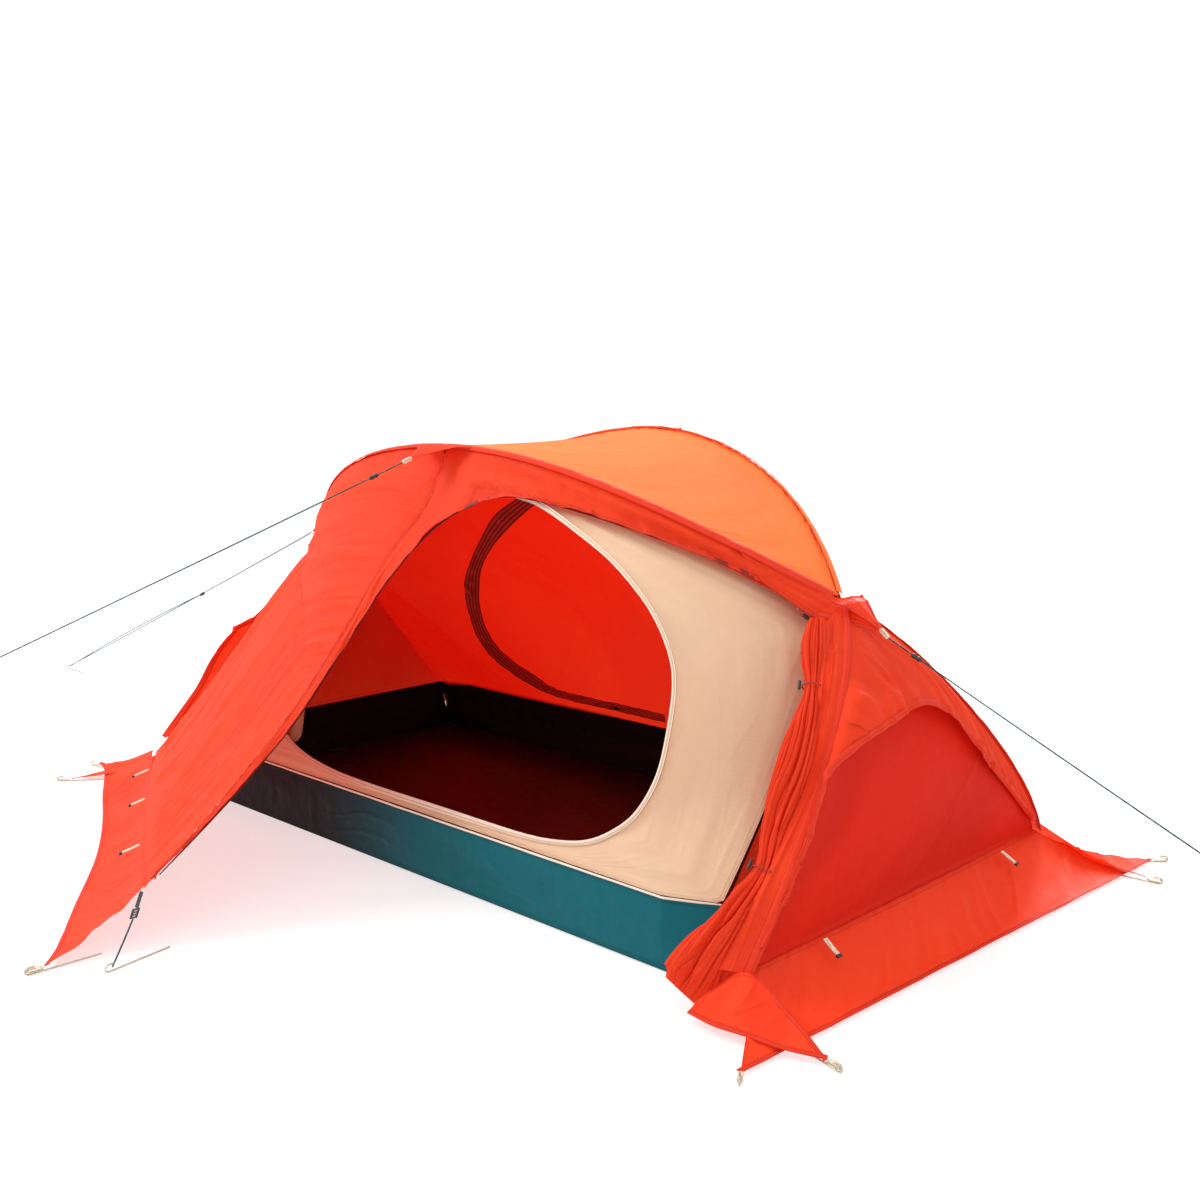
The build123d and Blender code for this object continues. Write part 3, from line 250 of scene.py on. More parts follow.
# ---------------------------------------------------------------- geometry core (millimetres)
CX, CZ = 1030.0, 775.0                       # where the two poles cross at each end
FA, FPA, FH, FPH = 344.3, 2.742, 339.2, 2.138    # front arch: reach forward, power, rise, power
RA, RPA, RH, RPH = 481.7, 2.180, 365.5, 1.783    # rear arch
CORNER = {"FR": (1226.0, -590.0, 85.0), "BR": (1217.0, 696.0, 85.0),
          "FL": (-1216.0, -585.0, 85.0), "BL": (-1216.0, 696.0, 85.0)}
FOOT = {"FR": (1191.0, -560.0, 20.0), "BR": (1182.0, 666.0, 20.0),
        "FL": (-1181.0, -555.0, 20.0), "BL": (-1181.0, 666.0, 20.0)}
LEG1 = {"FR": (1214.9, -188.5, 658.1), "BR": (1180.2, 137.7, 669.2),
        "FL": (-1113.2, -84.8, 722.4), "BL": (-1144.4, 104.9, 694.4)}
LEG2 = {"FR": (1205.1, -326.4, 339.9), "BR": (1273.6, 462.9, 285.8),
        "FL": (-1143.0, -335.0, 288.0), "BL": (-1140.4, 494.7, 389.4)}


def V3(*a):
    return np.array(a, float)


def front_arch(u):
    u = np.asarray(u, float)
    return np.stack([CX * u, -FA * (1 - abs(u) ** FPA), CZ + FH * (1 - abs(u) ** FPH)], -1)


def rear_arch(u):
    u = np.asarray(u, float)
    return np.stack([CX * u, RA * (1 - abs(u) ** RPA), CZ + RH * (1 - abs(u) ** RPH)], -1)


def bez(P, t):
    t = np.asarray(t, float)[..., None]
    P = [np.asarray(p, float) for p in P]
    return (1 - t) ** 3 * P[0] + 3 * (1 - t) ** 2 * t * P[1] + 3 * (1 - t) * t * t * P[2] + t ** 3 * P[3]


def leg(k, t, fly=True):
    sx = 1 if k[1] == "R" else -1
    end = V3(*(CORNER if fly else FOOT)[k])
    p2 = V3(*LEG2[k]) + (0.6 * (V3(*CORNER[k]) - V3(*FOOT[k])) if fly else 0)
    return bez([(sx * CX, 0, CZ), LEG1[k], p2, end], t)


def resample(P, n, t0=0.0, t1=1.0):
    P = np.asarray(P, float)
    d = np.r_[0, np.cumsum(np.linalg.norm(np.diff(P, axis=0), axis=1))]
    s = np.linspace(t0 * d[-1], t1 * d[-1], n)
    return np.stack([np.interp(s, d, P[:, k]) for k in range(3)], -1)


def plen(P):
    return float(np.linalg.norm(np.diff(np.asarray(P, float), axis=0), axis=1).sum())


def smooth(P, n=200):
    """A smooth line through a few points (Catmull-Rom)."""
    P = np.asarray(P, float)
    Q = np.vstack([2 * P[0] - P[1], P, 2 * P[-1] - P[-2]])
    out = []
    m = max(2, n // (len(P) - 1))
    for i in range(1, len(Q) - 2):
        t = np.linspace(0, 1, m, endpoint=False)[:, None]
        a, b, c, d = Q[i - 1], Q[i], Q[i + 1], Q[i + 2]
        out.append(0.5 * (2 * b + (c - a) * t + (2 * a - 5 * b + 4 * c - d) * t * t
                          + (3 * b - a - 3 * c + d) * t ** 3))
    out.append(P[-1][None])
    return np.vstack(out)


# centre seams of the two vestibules, top to tip, in the plane X = 0
SEAM_F = [(0, -352, 1100), (0, -387, 1018), (0, -439, 940), (0, -554, 836), (0, -676, 686),
          (0, -833, 504), (0, -982, 367), (0, -1123, 249), (0, -1272, 134)]
SEAM_R = [(0, 488, 1128), (0, 522, 1040), (0, 575, 955), (0, 680, 842), (0, 795, 690),
          (0, 935, 506), (0, 1062, 369), (0, 1180, 251), (0, 1300, 134)]


def rim(side):
    """Fly edge of one vestibule half: from the arch apex over the crossing and down the leg."""
    fr = side[0] == "F"
    sx = 1 if side[1] == "R" else -1
    u = np.linspace(0, 1, 90) * sx
    a = front_arch(u) if fr else rear_arch(u)
    b = leg(side, np.linspace(0, 1, 70)[1:])
    return np.vstack([a, b])


def vest(side, r, c, sag=1.0):
    """Vestibule skin: r from 0 at the top to 1 at the hem, c from 0 at the rim to 1 at the seam."""
    A = resample(rim(side), 400)
    B = resample(smooth(SEAM_F if side[0] == "F" else SEAM_R), 400)
    r = np.asarray(r, float)
    c = np.asarray(c, float)
    k = r * 399
    a = np.stack([np.interp(k, np.arange(400), A[:, i]) for i in range(3)], -1)
    b = np.stack([np.interp(k, np.arange(400), B[:, i]) for i in range(3)], -1)
    P = a * (1 - c)[..., None] + b * c[..., None]
    return P


def vest_out(side):
    """Direction in which a vestibule half bellies out."""
    d = V3(0.42 if side[1] == "R" else -0.42, -0.72 if side[0] == "F" else 0.72, 0.50)
    return d / np.linalg.norm(d)


def belly(r):
    """How far it bellies, by height: most level with the crossing."""
    return 26.0 + 26.0 * np.exp(-((np.asarray(r, float) - 0.47) / 0.2) ** 2)

# opening edge of the tied-back door: from under the right-hand crossing, along the fixed
# band below the front arch and down the storm flap to the vestibule tip
OPEN_EDGE = [(1005, -84, 739), (962, -76, 765), (899, -130, 814), (807, -198, 867), (674, -277, 921),
             (520, -346, 970), (369, -393, 1000), (270, -414, 999), (180, -439, 970), (96, -496, 902), (47, -600, 775),
             (31, -697, 651), (27, -851, 477), (22, -996, 346), (16, -1087, 272), (9, -1179, 202), (2, -1262, 143)]
# free edge of the hood over the end wall (Y, Z), from the front corner to the rear corner
HOOD = [(-588, 90), (-530, 167), (-440, 285), (-385, 385), (-335, 448), (-270, 480), (-200, 503),
        (-120, 520), (-44, 536), (8, 546), (61, 544), (117, 527), (174, 495), (226, 460),
        (345, 350), (456, 262), (560, 176), (660, 96)]
HOOD_X = 1236.0
# outer edge of the front left ground skirt
SKIRT_FL = [(-1478, -655, 12), (-1384, -683, 12), (-1107, -827, 12), (-860, -951, 11), (-601, -1100, 11),
            (-322, -1289, 11), (-100, -1440, 11), (-20, -1506, 11)]
SKIRT_RL = [(-1500, 733, 12), (-1384, 764, 12), (-1107, 890, 11), (-860, 1000, 10), (-601, 1135, 9),
            (-322, 1300, 11), (-100, 1442, 11), (-14, 1506, 11)]
# inner door opening (X, Z); Y follows from the lean of the wall
DOOR_D = [(278, 996), (381, 976), (512, 927), (642, 869), (741, 808), (814, 748), (869, 678), (892, 615),
          (897, 523), (887, 421), (847, 335), (790, 281), (713, 239), (615, 217), (486, 207), (192, 206),
          (-130, 205), (-313, 213), (-451, 236), (-545, 276), (-600, 340), (-622, 430), (-606, 540),
          (-560, 650), (-480, 760), (-360, 862), (-200, 942), (-20, 985), (140, 1002)]
# edges of the rear inner door's zip band (X, Z): outer, inner
REAR_ZIP = [((-420, 950), (-380, 922)), ((-506, 893), (-458, 867)), ((-574, 838), (-514, 818)), ((-627, 754), (-584, 743)),
            ((-672, 668), (-633, 663)), ((-703, 591), (-656, 595)), ((-711, 501), (-671, 514)), ((-714, 412), (-668, 430)),
            ((-701, 343), (-654, 375)), ((-660, 279), (-607, 314)), ((-602, 237), (-549, 269)), ((-515, 208), (-478, 233)),
            ((-380, 198), (-365, 226)), ((-203, 196), (-203, 224)), ((0, 196), (0, 222))]


def front_wall_y(z):
    return -556.5 + 0.2376 * (z - 170.0)


def rear_wall_y(z):
    return 556.5 - 0.105 * (z - 170.0)


# ---------------------------------------------------------------- inner tent lines
TUB_X, TUB_Y = 1086.0, 500.0          # top corners of the tub wall, drawn in by the corner seams


def in_front_arch(u):
    P = front_arch(u)
    return np.stack([P[..., 0] * 0.955, P[..., 1] * 0.965, 726 + (P[..., 2] - CZ) * 0.985], -1)


def in_rear_arch(u):
    P = rear_arch(u)
    return np.stack([P[..., 0] * 0.955, P[..., 1] * 0.94, 726 + (P[..., 2] - CZ) * 0.985], -1)


def in_leg(k, t):
    sx = 1 if k[1] == "R" else -1
    sy = 1 if k[0] == "B" else -1
    return bez([(sx * CX * 0.955, 0, 726), (sx * 1045, sy * 80, 650), (sx * 1095, sy * 300, 420),
                (sx * TUB_X, sy * TUB_Y, TUB_H + 3)], t)


def in_rim(front):
    """From the left tub corner up the leg, over the arch and down to the right tub corner."""
    a, b = ("FL", "FR") if front else ("BL", "BR")
    arch = in_front_arch if front else in_rear_arch
    t = np.linspace(0, 1, 60)
    return np.vstack([in_leg(a, t[::-1]), arch(np.linspace(-1, 1, 120)[1:-1]), in_leg(b, t)])



def normals(G, ring=False):
    if ring:
        du = np.roll(G, -1, 0) - np.roll(G, 1, 0)
    else:
        du = np.gradient(G, axis=0)
    dv = np.gradient(G, axis=1)
    N = np.cross(du, dv)
    L = np.linalg.norm(N, axis=2, keepdims=True)
    return N / np.where(L < 1e-9, 1, L)



def between(A, B, n, m, g0=0.0, g1=0.0):
    """Ruled grid: A and B resampled to n points, m across, stopping g0 and g1 short of them."""
    A, B = resample(A, n), resample(B, n)
    L = np.linalg.norm(B - A, axis=1)
    a, b = g0 / L, 1 - g1 / L
    return np.array([[A[i] + (B[i] - A[i]) * (a[i] + (b[i] - a[i]) * j / (m - 1)) for j in range(m)]
                     for i in range(n)])


# ---------------------------------------------------------------- the fly
def roof(nu, nw, arch_a=front_arch, arch_b=rear_arch, lim=0.965, sag=14.0, gap=SEAM_GAP):
    us = np.linspace(-lim, lim, nu)
    G = np.zeros((nu, nw, 3))
    for i, u in enumerate(us):
        a, b = arch_a(u), arch_b(u)
        L = np.linalg.norm(b - a)
        for j in range(nw):
            w = gap / L + (1 - 2 * gap / L) * j / (nw - 1)
            G[i, j] = a + (b - a) * w
            G[i, j, 2] -= sag * 4 * w * (1 - w) * (1 - u * u)
    return G


def vest_grid(side, nr, nc, r0=0.035, r1=0.997, g0=SEAM_GAP, g1=3.0):
    A = resample(rim(side), nr, r0, r1)
    B = resample(smooth(SEAM_F if side[0] == "F" else SEAM_R), nr, r0, r1)
    L = np.linalg.norm(B - A, axis=1)
    G = np.zeros((nr, nc, 3))
    for i in range(nr):
        r = r0 + (r1 - r0) * i / (nr - 1)
        for j in range(nc):
            c = g0 / L[i] + (1 - (g0 + g1) / L[i]) * j / (nc - 1)
            G[i, j] = A[i] + (B[i] - A[i]) * c \
                + vest_out(side) * belly(r) * 4 * c * (1 - c) * (1 - 0.35 * c) * min(1.0, L[i] / 500.0)
    return G


def band_lines(n):
    """Outer and inner line of the fixed band and storm flap, matched station by station."""
    n1 = int(n * 0.5)
    arch = front_arch(np.linspace(0.985, 0.0, 120))
    seam = smooth(SEAM_F, 300)
    E = smooth(OPEN_EDGE, 600)
    k = int(np.argmin(np.linalg.norm(E - V3(228, -424, 990), axis=1)))
    O = np.vstack([resample(arch, n1), resample(seam, n - n1 + 1, 0.0, 0.985)[1:]])
    I = np.vstack([resample(E[:k + 1], n1), resample(E[k:], n - n1 + 1, 0.0, 0.985)[1:]])
    return O, I


def band_grid(n, m, g=3.5):
    O, I = band_lines(n)
    G = np.zeros((len(O), m, 3))
    for i in range(len(O)):
        L = max(np.linalg.norm(I[i] - O[i]), 1e-6)
        a = min(g / L, 0.25)
        for j in range(m):
            G[i, j] = O[i] + (I[i] - O[i]) * (a + (1 - a) * j / (m - 1))
    return G


def end_rim(x):
    """From the front corner up the leg to the crossing and down to the rear corner."""
    t = np.linspace(0, 1, 80)
    return np.vstack([leg("F" + x, t[::-1]), leg("B" + x, t[1:])])


def hood_line(x):
    s = 1 if x == "R" else -1
    return smooth([(s * HOOD_X, y, z) for y, z in HOOD], 200)


def hood_grid(x, n, m, g=SEAM_GAP):
    A, B = resample(end_rim(x), n, 0.035, 0.965), resample(hood_line(x), n, 0.035, 0.965)
    tight = np.zeros(n)
    if x == "L":                                  # the left hood is drawn close in behind the closed vestibule
        k = np.clip((60 - B[:, 1]) / 170, 0, 1)
        tight = k * k * (3 - 2 * k)
        B[:, 0] = B[:, 0] * (1 - tight) + (A[:, 0] - 24) * tight
    L = np.linalg.norm(B - A, axis=1)
    G = np.zeros((n, m, 3))
    for i in range(n):
        a = min(g / L[i], 0.3)
        for j in range(m):
            w = a + (1 - a) * j / (m - 1)
            G[i, j] = A[i] + (B[i] - A[i]) * w
            G[i, j, 0] += (1 if x == "R" else -1) * (26 - 20 * tight[i]) * np.sin(np.pi * w) * min(1, L[i] / 260)
    return G


def gable_grid(x, n, m, inset=24.0, back=14.0):
    t = np.linspace(0.30, 0.985, n)
    a, b = leg("F" + x, t), leg("B" + x, t)
    s = 1 if x == "R" else -1
    G = np.zeros((n, m, 3))
    for i in range(n):
        L = np.linalg.norm(b[i] - a[i])
        for j in range(m):
            w = inset / L + (1 - 2 * inset / L) * j / (m - 1)
            G[i, j] = a[i] + (b[i] - a[i]) * w
            G[i, j, 0] -= s * back
    return G


def band_on(path, half, lift, n, across=3, centre=V3(0, 0, 250)):
    """A strip of cloth laid along a line, lifted off it and crowned over what runs beneath."""
    P = resample(path, n)
    T = np.gradient(P, axis=0)
    T /= np.linalg.norm(T, axis=1, keepdims=True)
    N = P - centre
    N /= np.linalg.norm(N, axis=1, keepdims=True)
    N -= (N * T).sum(1, keepdims=True) * T
    N /= np.linalg.norm(N, axis=1, keepdims=True)
    S = np.cross(T, N)
    G = np.zeros((n, across, 3))
    for j in range(across):
        w = 2 * j / (across - 1) - 1
        G[:, j] = P + S * half * w + N * (lift * (1 - 0.6 * w * w))
    return G


def pole_line(which):
    """Centre line of a pole, a little inside the cloth; pole B passes under pole A."""
    if which == "A":
        a, arch, c = leg("FR", np.linspace(1, 0, 90), False), rear_arch, leg("FL", np.linspace(0, 1, 90), False)
    else:
        a, arch, c = leg("BR", np.linspace(1, 0, 90), False), front_arch, leg("BL", np.linspace(0, 1, 90), False)
    P = np.vstack([a[:-1], arch(np.linspace(1, -1, 240)), c[1:]])
    C = V3(0, 0, 250)
    d = C - P
    d /= np.linalg.norm(d, axis=1, keepdims=True)
    off = np.full(len(P), 16.0)
    near = np.minimum(np.linalg.norm(P - V3(CX, 0, CZ), axis=1), np.linalg.norm(P - V3(-CX, 0, CZ), axis=1))
    off += (0.0 if which == "A" else 30.0) * np.exp(-(near / 110.0) ** 2)
    low = np.clip((P[:, 2] - 20) / 120.0, 0, 1)
    P = P + d * (off * low)[:, None]
    k = np.exp(-np.arange(-6, 7) ** 2 / 14.0)
    k /= k.sum()
    Q = P.copy()
    for a_ in range(3):
        Q[:, a_] = np.convolve(np.pad(P[:, a_], 6, mode="edge"), k, mode="valid")
    Q[0], Q[-1] = P[0], P[-1]
    Q = np.vstack([Q[:1], Q[8:-8], Q[-1:]])
    return resample(Q, 661)



def skirt(inner, outer, n, m=3, gap=5.0, sag=3.0):
    G = between(smooth(inner, 120), smooth(outer, 160), n, m, gap, 0)
    for j in range(m):
        w = j / (m - 1)
        G[:, j, 2] -= sag * 4 * w * (1 - w)
    return G


SK_END_R = skirt([(1232, -588, 82), (1240, 50, 80), (1224, 690, 82)], [(1379, -805, 7), (1415, 45, 7), (1451, 888, 7)], 13)
SK_END_L = skirt([(-1224, -584, 82), (-1240, 50, 80), (-1224, 690, 82)], [(-1389, -797, 7), (-1420, 45, 7), (-1451, 888, 7)], 13)
SK_FL = skirt([(-1222, -600, 97), (-610, -946, 108), (-12, -1276, 133)], SKIRT_FL, 15)
SK_RL = skirt([(-1222, 708, 97), (-610, 1012, 108), (-10, 1304, 133)], SKIRT_RL, 15)
SK_RR = SK_RL * V3(-1, 1, 1)
SK_FR = between(smooth([(1172, -624, 58), (1204, -610, 86), (1234, -604, 98), (1262, -606, 92), (1300, -612, 82)], 60),
                smooth([(1160, -704, 20), (1236, -716, 22), (1316, -706, 22), (1400, -690, 18), (1470, -656, 12)], 60), 9, 4)

GATHER = [((1046, -118, 742), 20, 15), ((1064, -146, 704), 30, 18), ((1084, -180, 655), 26, 17), ((1104, -214, 608), 17, 15),
          ((1128, -262, 548), 30, 22), ((1150, -325, 468), 40, 26), ((1158, -392, 350), 40, 28), ((1164, -452, 252), 24, 22),
          ((1158, -524, 180), 48, 34), ((1146, -588, 120), 60, 38), ((1140, -622, 80), 64, 34), ((1134, -644, 48), 66, 26),
          ((1124, -660, 28), 52, 15)]



def wall_ring(n, m, loops=3):
    """Front inner wall as a ring of cloth between its outer rim and the door opening."""
    D = np.array([(x, front_wall_y(z), z) for x, z in DOOR_D], float)
    D = smooth(np.vstack([D, D[:1]]), 580)[:-1]
    R = in_rim(True)
    base = resample([R[-1], (960, -FLOOR_W / 2 + 1, TUB_H + 3), (-960, -FLOOR_W / 2 + 1, TUB_H + 3), R[0]], 120)[1:-1]
    O = np.vstack([resample(R, 400), base])
    c = V3(150, -450, 590)
    ang = lambda P: np.arctan2((P[:, 2] - c[2]) * 1.75, P[:, 0] - c[0])
    th = np.linspace(-np.pi, np.pi, n, endpoint=False)

    def at(P):
        a = ang(P)
        o = np.argsort(a)
        a, Q = a[o], P[o]
        a = np.r_[a - 2 * np.pi, a, a + 2 * np.pi]
        Q = np.vstack([Q, Q, Q])
        return np.stack([np.interp(th, a, Q[:, k]) for k in range(3)], -1)
    A, B = at(O), at(D)
    L = np.linalg.norm(B - A, axis=1)
    g0 = 3.0 / L
    return np.array([[A[i] + (B[i] - A[i]) * (g0[i] + (1 - g0[i]) * j / (m - 1)) for j in range(m)] for i in range(n)])


def wall_rear(n, m):
    R = resample(in_rim(False), n, 0.02, 0.98)
    base = np.array([(r[0] * 1.0, 0, 0) for r in R])
    t = np.linspace(0.02, 0.98, n)
    base = resample([(-TUB_X, TUB_Y, TUB_H + 4), (-960, FLOOR_W / 2 - 1, TUB_H + 4), (960, FLOOR_W / 2 - 1, TUB_H + 4),
                     (TUB_X, TUB_Y, TUB_H + 4)], n, 0.01, 0.99)
    L = np.linalg.norm(base - R, axis=1)
    return np.array([[R[i] + (base[i] - R[i]) * (3.0 / max(L[i], 12) + (1 - 3.0 / max(L[i], 12)) * j / (m - 1)) for j in range(m)]
                     for i in range(n)])


def wall_end(x, n, m):
    t = np.linspace(0.06, 0.985, n)
    a, b = in_leg("F" + x, t), in_leg("B" + x, t)
    L = np.linalg.norm(b - a, axis=1)
    return np.array([[a[i] + (b[i] - a[i]) * (4 / L[i] + (1 - 8 / L[i]) * j / (m - 1)) for j in range(m)] for i in range(n)])



def tub_side(low, top, n=9):
    a, b = resample(low, n), resample(top, n)
    return np.array([[a[i] + (b[i] - a[i]) * w for w in (0.0, 0.5, 1.0)] for i in range(n)])



TABS = {"front": ((0, -352, 1118), (0, -466, 1076), (1, 0, 0), 95), "right": ((1046, 0, 782), (1134, 0, 708), (0, 1, 0), 60),
        "left": ((-1046, 0, 786), (-1128, 0, 761), (0, 1, 0), 60), "rear": ((0, 492, 1143), (0, 596, 1096), (1, 0, 0), 95)}


# ================================================================ cloth meshes
def noise(x, y, seed):
    T_ = np.random.RandomState(seed).rand(64, 64) * 2 - 1
    x, y = np.broadcast_arrays(np.asarray(x, float), np.asarray(y, float))
    xi, yi = np.floor(x).astype(int), np.floor(y).astype(int)
    fx, fy = x - xi, y - yi
    fx, fy = fx * fx * fx * (fx * (fx * 6 - 15) + 10), fy * fy * fy * (fy * (fy * 6 - 15) + 10)
    a, b_ = T_[xi % 64, yi % 64], T_[(xi + 1) % 64, yi % 64]
    c, d = T_[xi % 64, (yi + 1) % 64], T_[(xi + 1) % 64, (yi + 1) % 64]
    return (a * (1 - fx) + b_ * fx) * (1 - fy) + (c * (1 - fx) + d * fx) * fy


def soft(s, t, ws, wt, seed):
    """Soft folds that run along t, spaced about ws across s (all millimetres)."""
    return noise(s / ws + 0.7 * noise(s / (ws * 3), t / (wt * 0.6), seed + 1), t / wt, seed)


def crease(s, t, ws, wt, seed, sharp=2.4):
    """Sharper creases that run along t and fade out along their length."""
    n = soft(s, t, ws, wt, seed)
    k = np.clip(1 - np.abs(n) * sharp, 0, 1) ** 2
    return k * np.clip(0.35 + noise(s / (ws * 2.5), t / (wt * 0.8), seed + 7), 0, 1)


def lengths(G):
    """Arc length along each axis of a grid, in millimetres."""
    a = np.linalg.norm(np.diff(G, axis=0), axis=2)
    b_ = np.linalg.norm(np.diff(G, axis=1), axis=2)
    U = np.vstack([np.zeros((1, G.shape[1])), np.cumsum(a, 0)])
    V_ = np.hstack([np.zeros((G.shape[0], 1)), np.cumsum(b_, 1)])
    return U, V_


def outward(G, ring, ref):
    Nn = normals(G, ring)
    s = np.sign(((G - ref) * Nn).sum(2).mean())
    return Nn * (s if s else 1)


def sheetpart(G, d=None, ring=False, ref=(0, 0, 300), edges="udlr", free="", mat=0, back=None, tone=None, amp=5.0, floor=None, uvswap=False):
    """One panel: a grid G pushed out by d millimetres, with the distance to its sewn borders kept for the shader, and
    the push kept as fold_shade for the painted crease shade.
    edges: borders that are sewn (u first row, d last row, l first column, r last column)."""
    G = np.asarray(G, float)
    n, m, _ = G.shape
    U, V_ = lengths(G)
    Nn = outward(G, ring, np.array(ref, float))
    d = np.zeros((n, m)) if d is None else d
    P = G + Nn * d[..., None]
    if floor is not None:
        P[..., 2] = np.maximum(P[..., 2], floor)
    E = np.full((n, m), 1e3)
    if "u" in edges:
        E = np.minimum(E, U)
    if "d" in edges:
        E = np.minimum(E, U[-1:, :] - U)
    if "l" in edges:
        E = np.minimum(E, V_)
    if "r" in edges:
        E = np.minimum(E, V_[:, -1:] - V_)
    Um = np.broadcast_to(U.mean(1, keepdims=True), U.shape)
    return {"P": P, "ring": ring, "uv": (Um, V_) if not uvswap else (V_, Um), "edge": E, "fold_shade": np.clip(d / amp, -1, 1), "mat": mat,
            "tone": np.zeros((n, m)) if tone is None else tone, "back": back, "N": Nn}


def hempart(path, inward, w=11.0, t=2.2, mat=0, wob=0.0, seed=5, closed=False, out=None):
    """A folded hem: a flat tube round a free edge, w wide and t thick."""
    P = np.asarray(path, float)
    n = len(P)
    T_ = (np.roll(P, -1, 0) - np.roll(P, 1, 0)) if closed else np.gradient(P, axis=0)
    T_ /= np.linalg.norm(T_, axis=1, keepdims=True) + 1e-9
    I_ = np.asarray(inward, float)
    I_ = I_ - (I_ * T_).sum(1, keepdims=True) * T_
    I_ /= np.linalg.norm(I_, axis=1, keepdims=True) + 1e-9
    B_ = np.cross(T_, I_)
    ang = np.linspace(0, 2 * np.pi, 13)
    c, s = np.cos(ang), np.sin(ang)
    ex = np.sign(c) * np.abs(c) ** 0.7
    k = np.arange(n)
    ww = 1 + 0.10 * noise(k / 7.0, 0.5, seed)
    dz = wob * noise(k / 9.0, 3.5, seed + 2)
    G = np.zeros((n, 13, 3))
    for j in range(13):
        G[:, j] = P + I_ * (w * 0.5 * ww * (1 - ex[j]) - 1.0)[:, None] + B_ * (t * 0.5 * s[j] + dz)[:, None]
    U, V_ = lengths(G)
    Um = np.broadcast_to(U.mean(1, keepdims=True), U.shape)
    E = np.abs(np.minimum(V_, V_[:, -1:] - V_))
    # painted shade: every hem is darkened a fixed amount, about 13 per cent, through fold_shade
    return {"P": G, "ring": closed, "uv": (Um, V_), "edge": E + 2.2, "fold_shade": np.full((n, 13), -0.15), "mat": mat, "tone": np.zeros((n, 13)), "back": None}


def make(name, parts, mats, body="tent", node=()):
    """One mesh object from panels."""
    co, faces, mi, uvs, at = [], [], [], [], {"edge": [], "fold_shade": [], "tone": []}
    base = 0
    for p in parts:
        G = p["P"] / 1000.0
        n, m, _ = G.shape
        layers = [(G, p["mat"], False)]
        if p["back"] is not None:
            layers.append((G - p["N"] * 0.0012, p["back"], True))
        for g, mt, flip in layers:
            idx = np.arange(n * m).reshape(n, m) + base
            a = idx if not p["ring"] else np.vstack([idx, idx[:1]])
            q = np.stack([a[:-1, :-1], a[1:, :-1], a[1:, 1:], a[:-1, 1:]], -1).reshape(-1, 4)
            if flip:
                q = q[:, ::-1]
            faces.append(q)
            mi.append(np.full(len(q), mt))
            co.append(g.reshape(-1, 3))
            uvs.append(np.stack([p["uv"][0].ravel(), p["uv"][1].ravel()], -1) / 1000.0)
            at["edge"].append(p["edge"].ravel() / 1000.0)
            at["fold_shade"].append(p["fold_shade"].ravel())
            at["tone"].append(p["tone"].ravel())
            base += n * m
    co, faces, mi, uvs = np.vstack(co), np.vstack(faces), np.concatenate(mi), np.vstack(uvs)
    me = bpy.data.meshes.new(name)
    me.vertices.add(len(co))
    me.vertices.foreach_set("co", co.ravel())
    me.loops.add(faces.size)
    me.loops.foreach_set("vertex_index", faces.ravel())
    me.polygons.add(len(faces))
    me.polygons.foreach_set("loop_start", np.arange(len(faces)) * 4)
    me.polygons.foreach_set("material_index", mi)
    me.polygons.foreach_set("use_smooth", np.ones(len(faces), bool))
    me.update(calc_edges=True)
    me.validate()
    if len(me.loops) == faces.size:
        layer = me.uv_layers.new(name="cut")
        layer.data.foreach_set("uv", uvs[faces.ravel()].ravel())
    for k in at:
        a = me.attributes.new(k, "FLOAT", "POINT")
        a.data.foreach_set("value", np.concatenate(at[k]).astype(np.float32))
    o = bpy.data.objects.new(name, me)
    scene.collection.objects.link(o)
    for mt in mats:
        me.materials.append(M[mt])
    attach(o, body)
    if node:
        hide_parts(*node)
    return o


# ================================================================ materials of the cloth
M["fly"] = cloth_mat("fly_ripstop_red", RED, RED_D, rough=0.58, trans=0.30, tint=(1.0, 0.8, 0.7), spec=0.16)
# darker red of the hems and bindings, also used on the front pole sleeve as painted shade
M["fly_edge"] = cloth_mat("fly_binding_red", (0.80, 0.050, 0.018), RED_D, rough=0.6, trans=0.12, spec=0.15)
# painted shade: a darker copy of the fly red for the recessed gables, shaded by the hoods
M["fly_dark"] = cloth_mat("fly_gable_painted_shade_red", (0.74, 0.020, 0.005), (0.45, 0.008, 0.002), rough=0.6, trans=0.20, spec=0.10)
# painted light: the roof is coloured orange for the light glowing through it from behind
M["roof"] = cloth_mat("roof_ripstop_orange", (0.92, 0.195, 0.048), (0.84, 0.105, 0.022), rough=0.85, trans=0.10, spec=0.03)
M["inner"] = cloth_mat("inner_cream", (0.92, 0.66, 0.44), (0.72, 0.46, 0.28), rough=0.7, trans=0.28, rip=9.0, spec=0.2)
# painted light: the cream inner cloth of the rear wall, ends and roof is coloured red for the red light that reaches it
# through the fly
M["inner_red"] = cloth_mat("inner_lit_through_fly", (1.0, 0.15, 0.05), (0.9, 0.05, 0.02), rough=0.8, trans=0.5, rip=9.0, spec=0.15)
M["bind"] = cloth_mat("inner_binding_pale", (0.93, 0.80, 0.68), (0.7, 0.5, 0.38), rough=0.6)
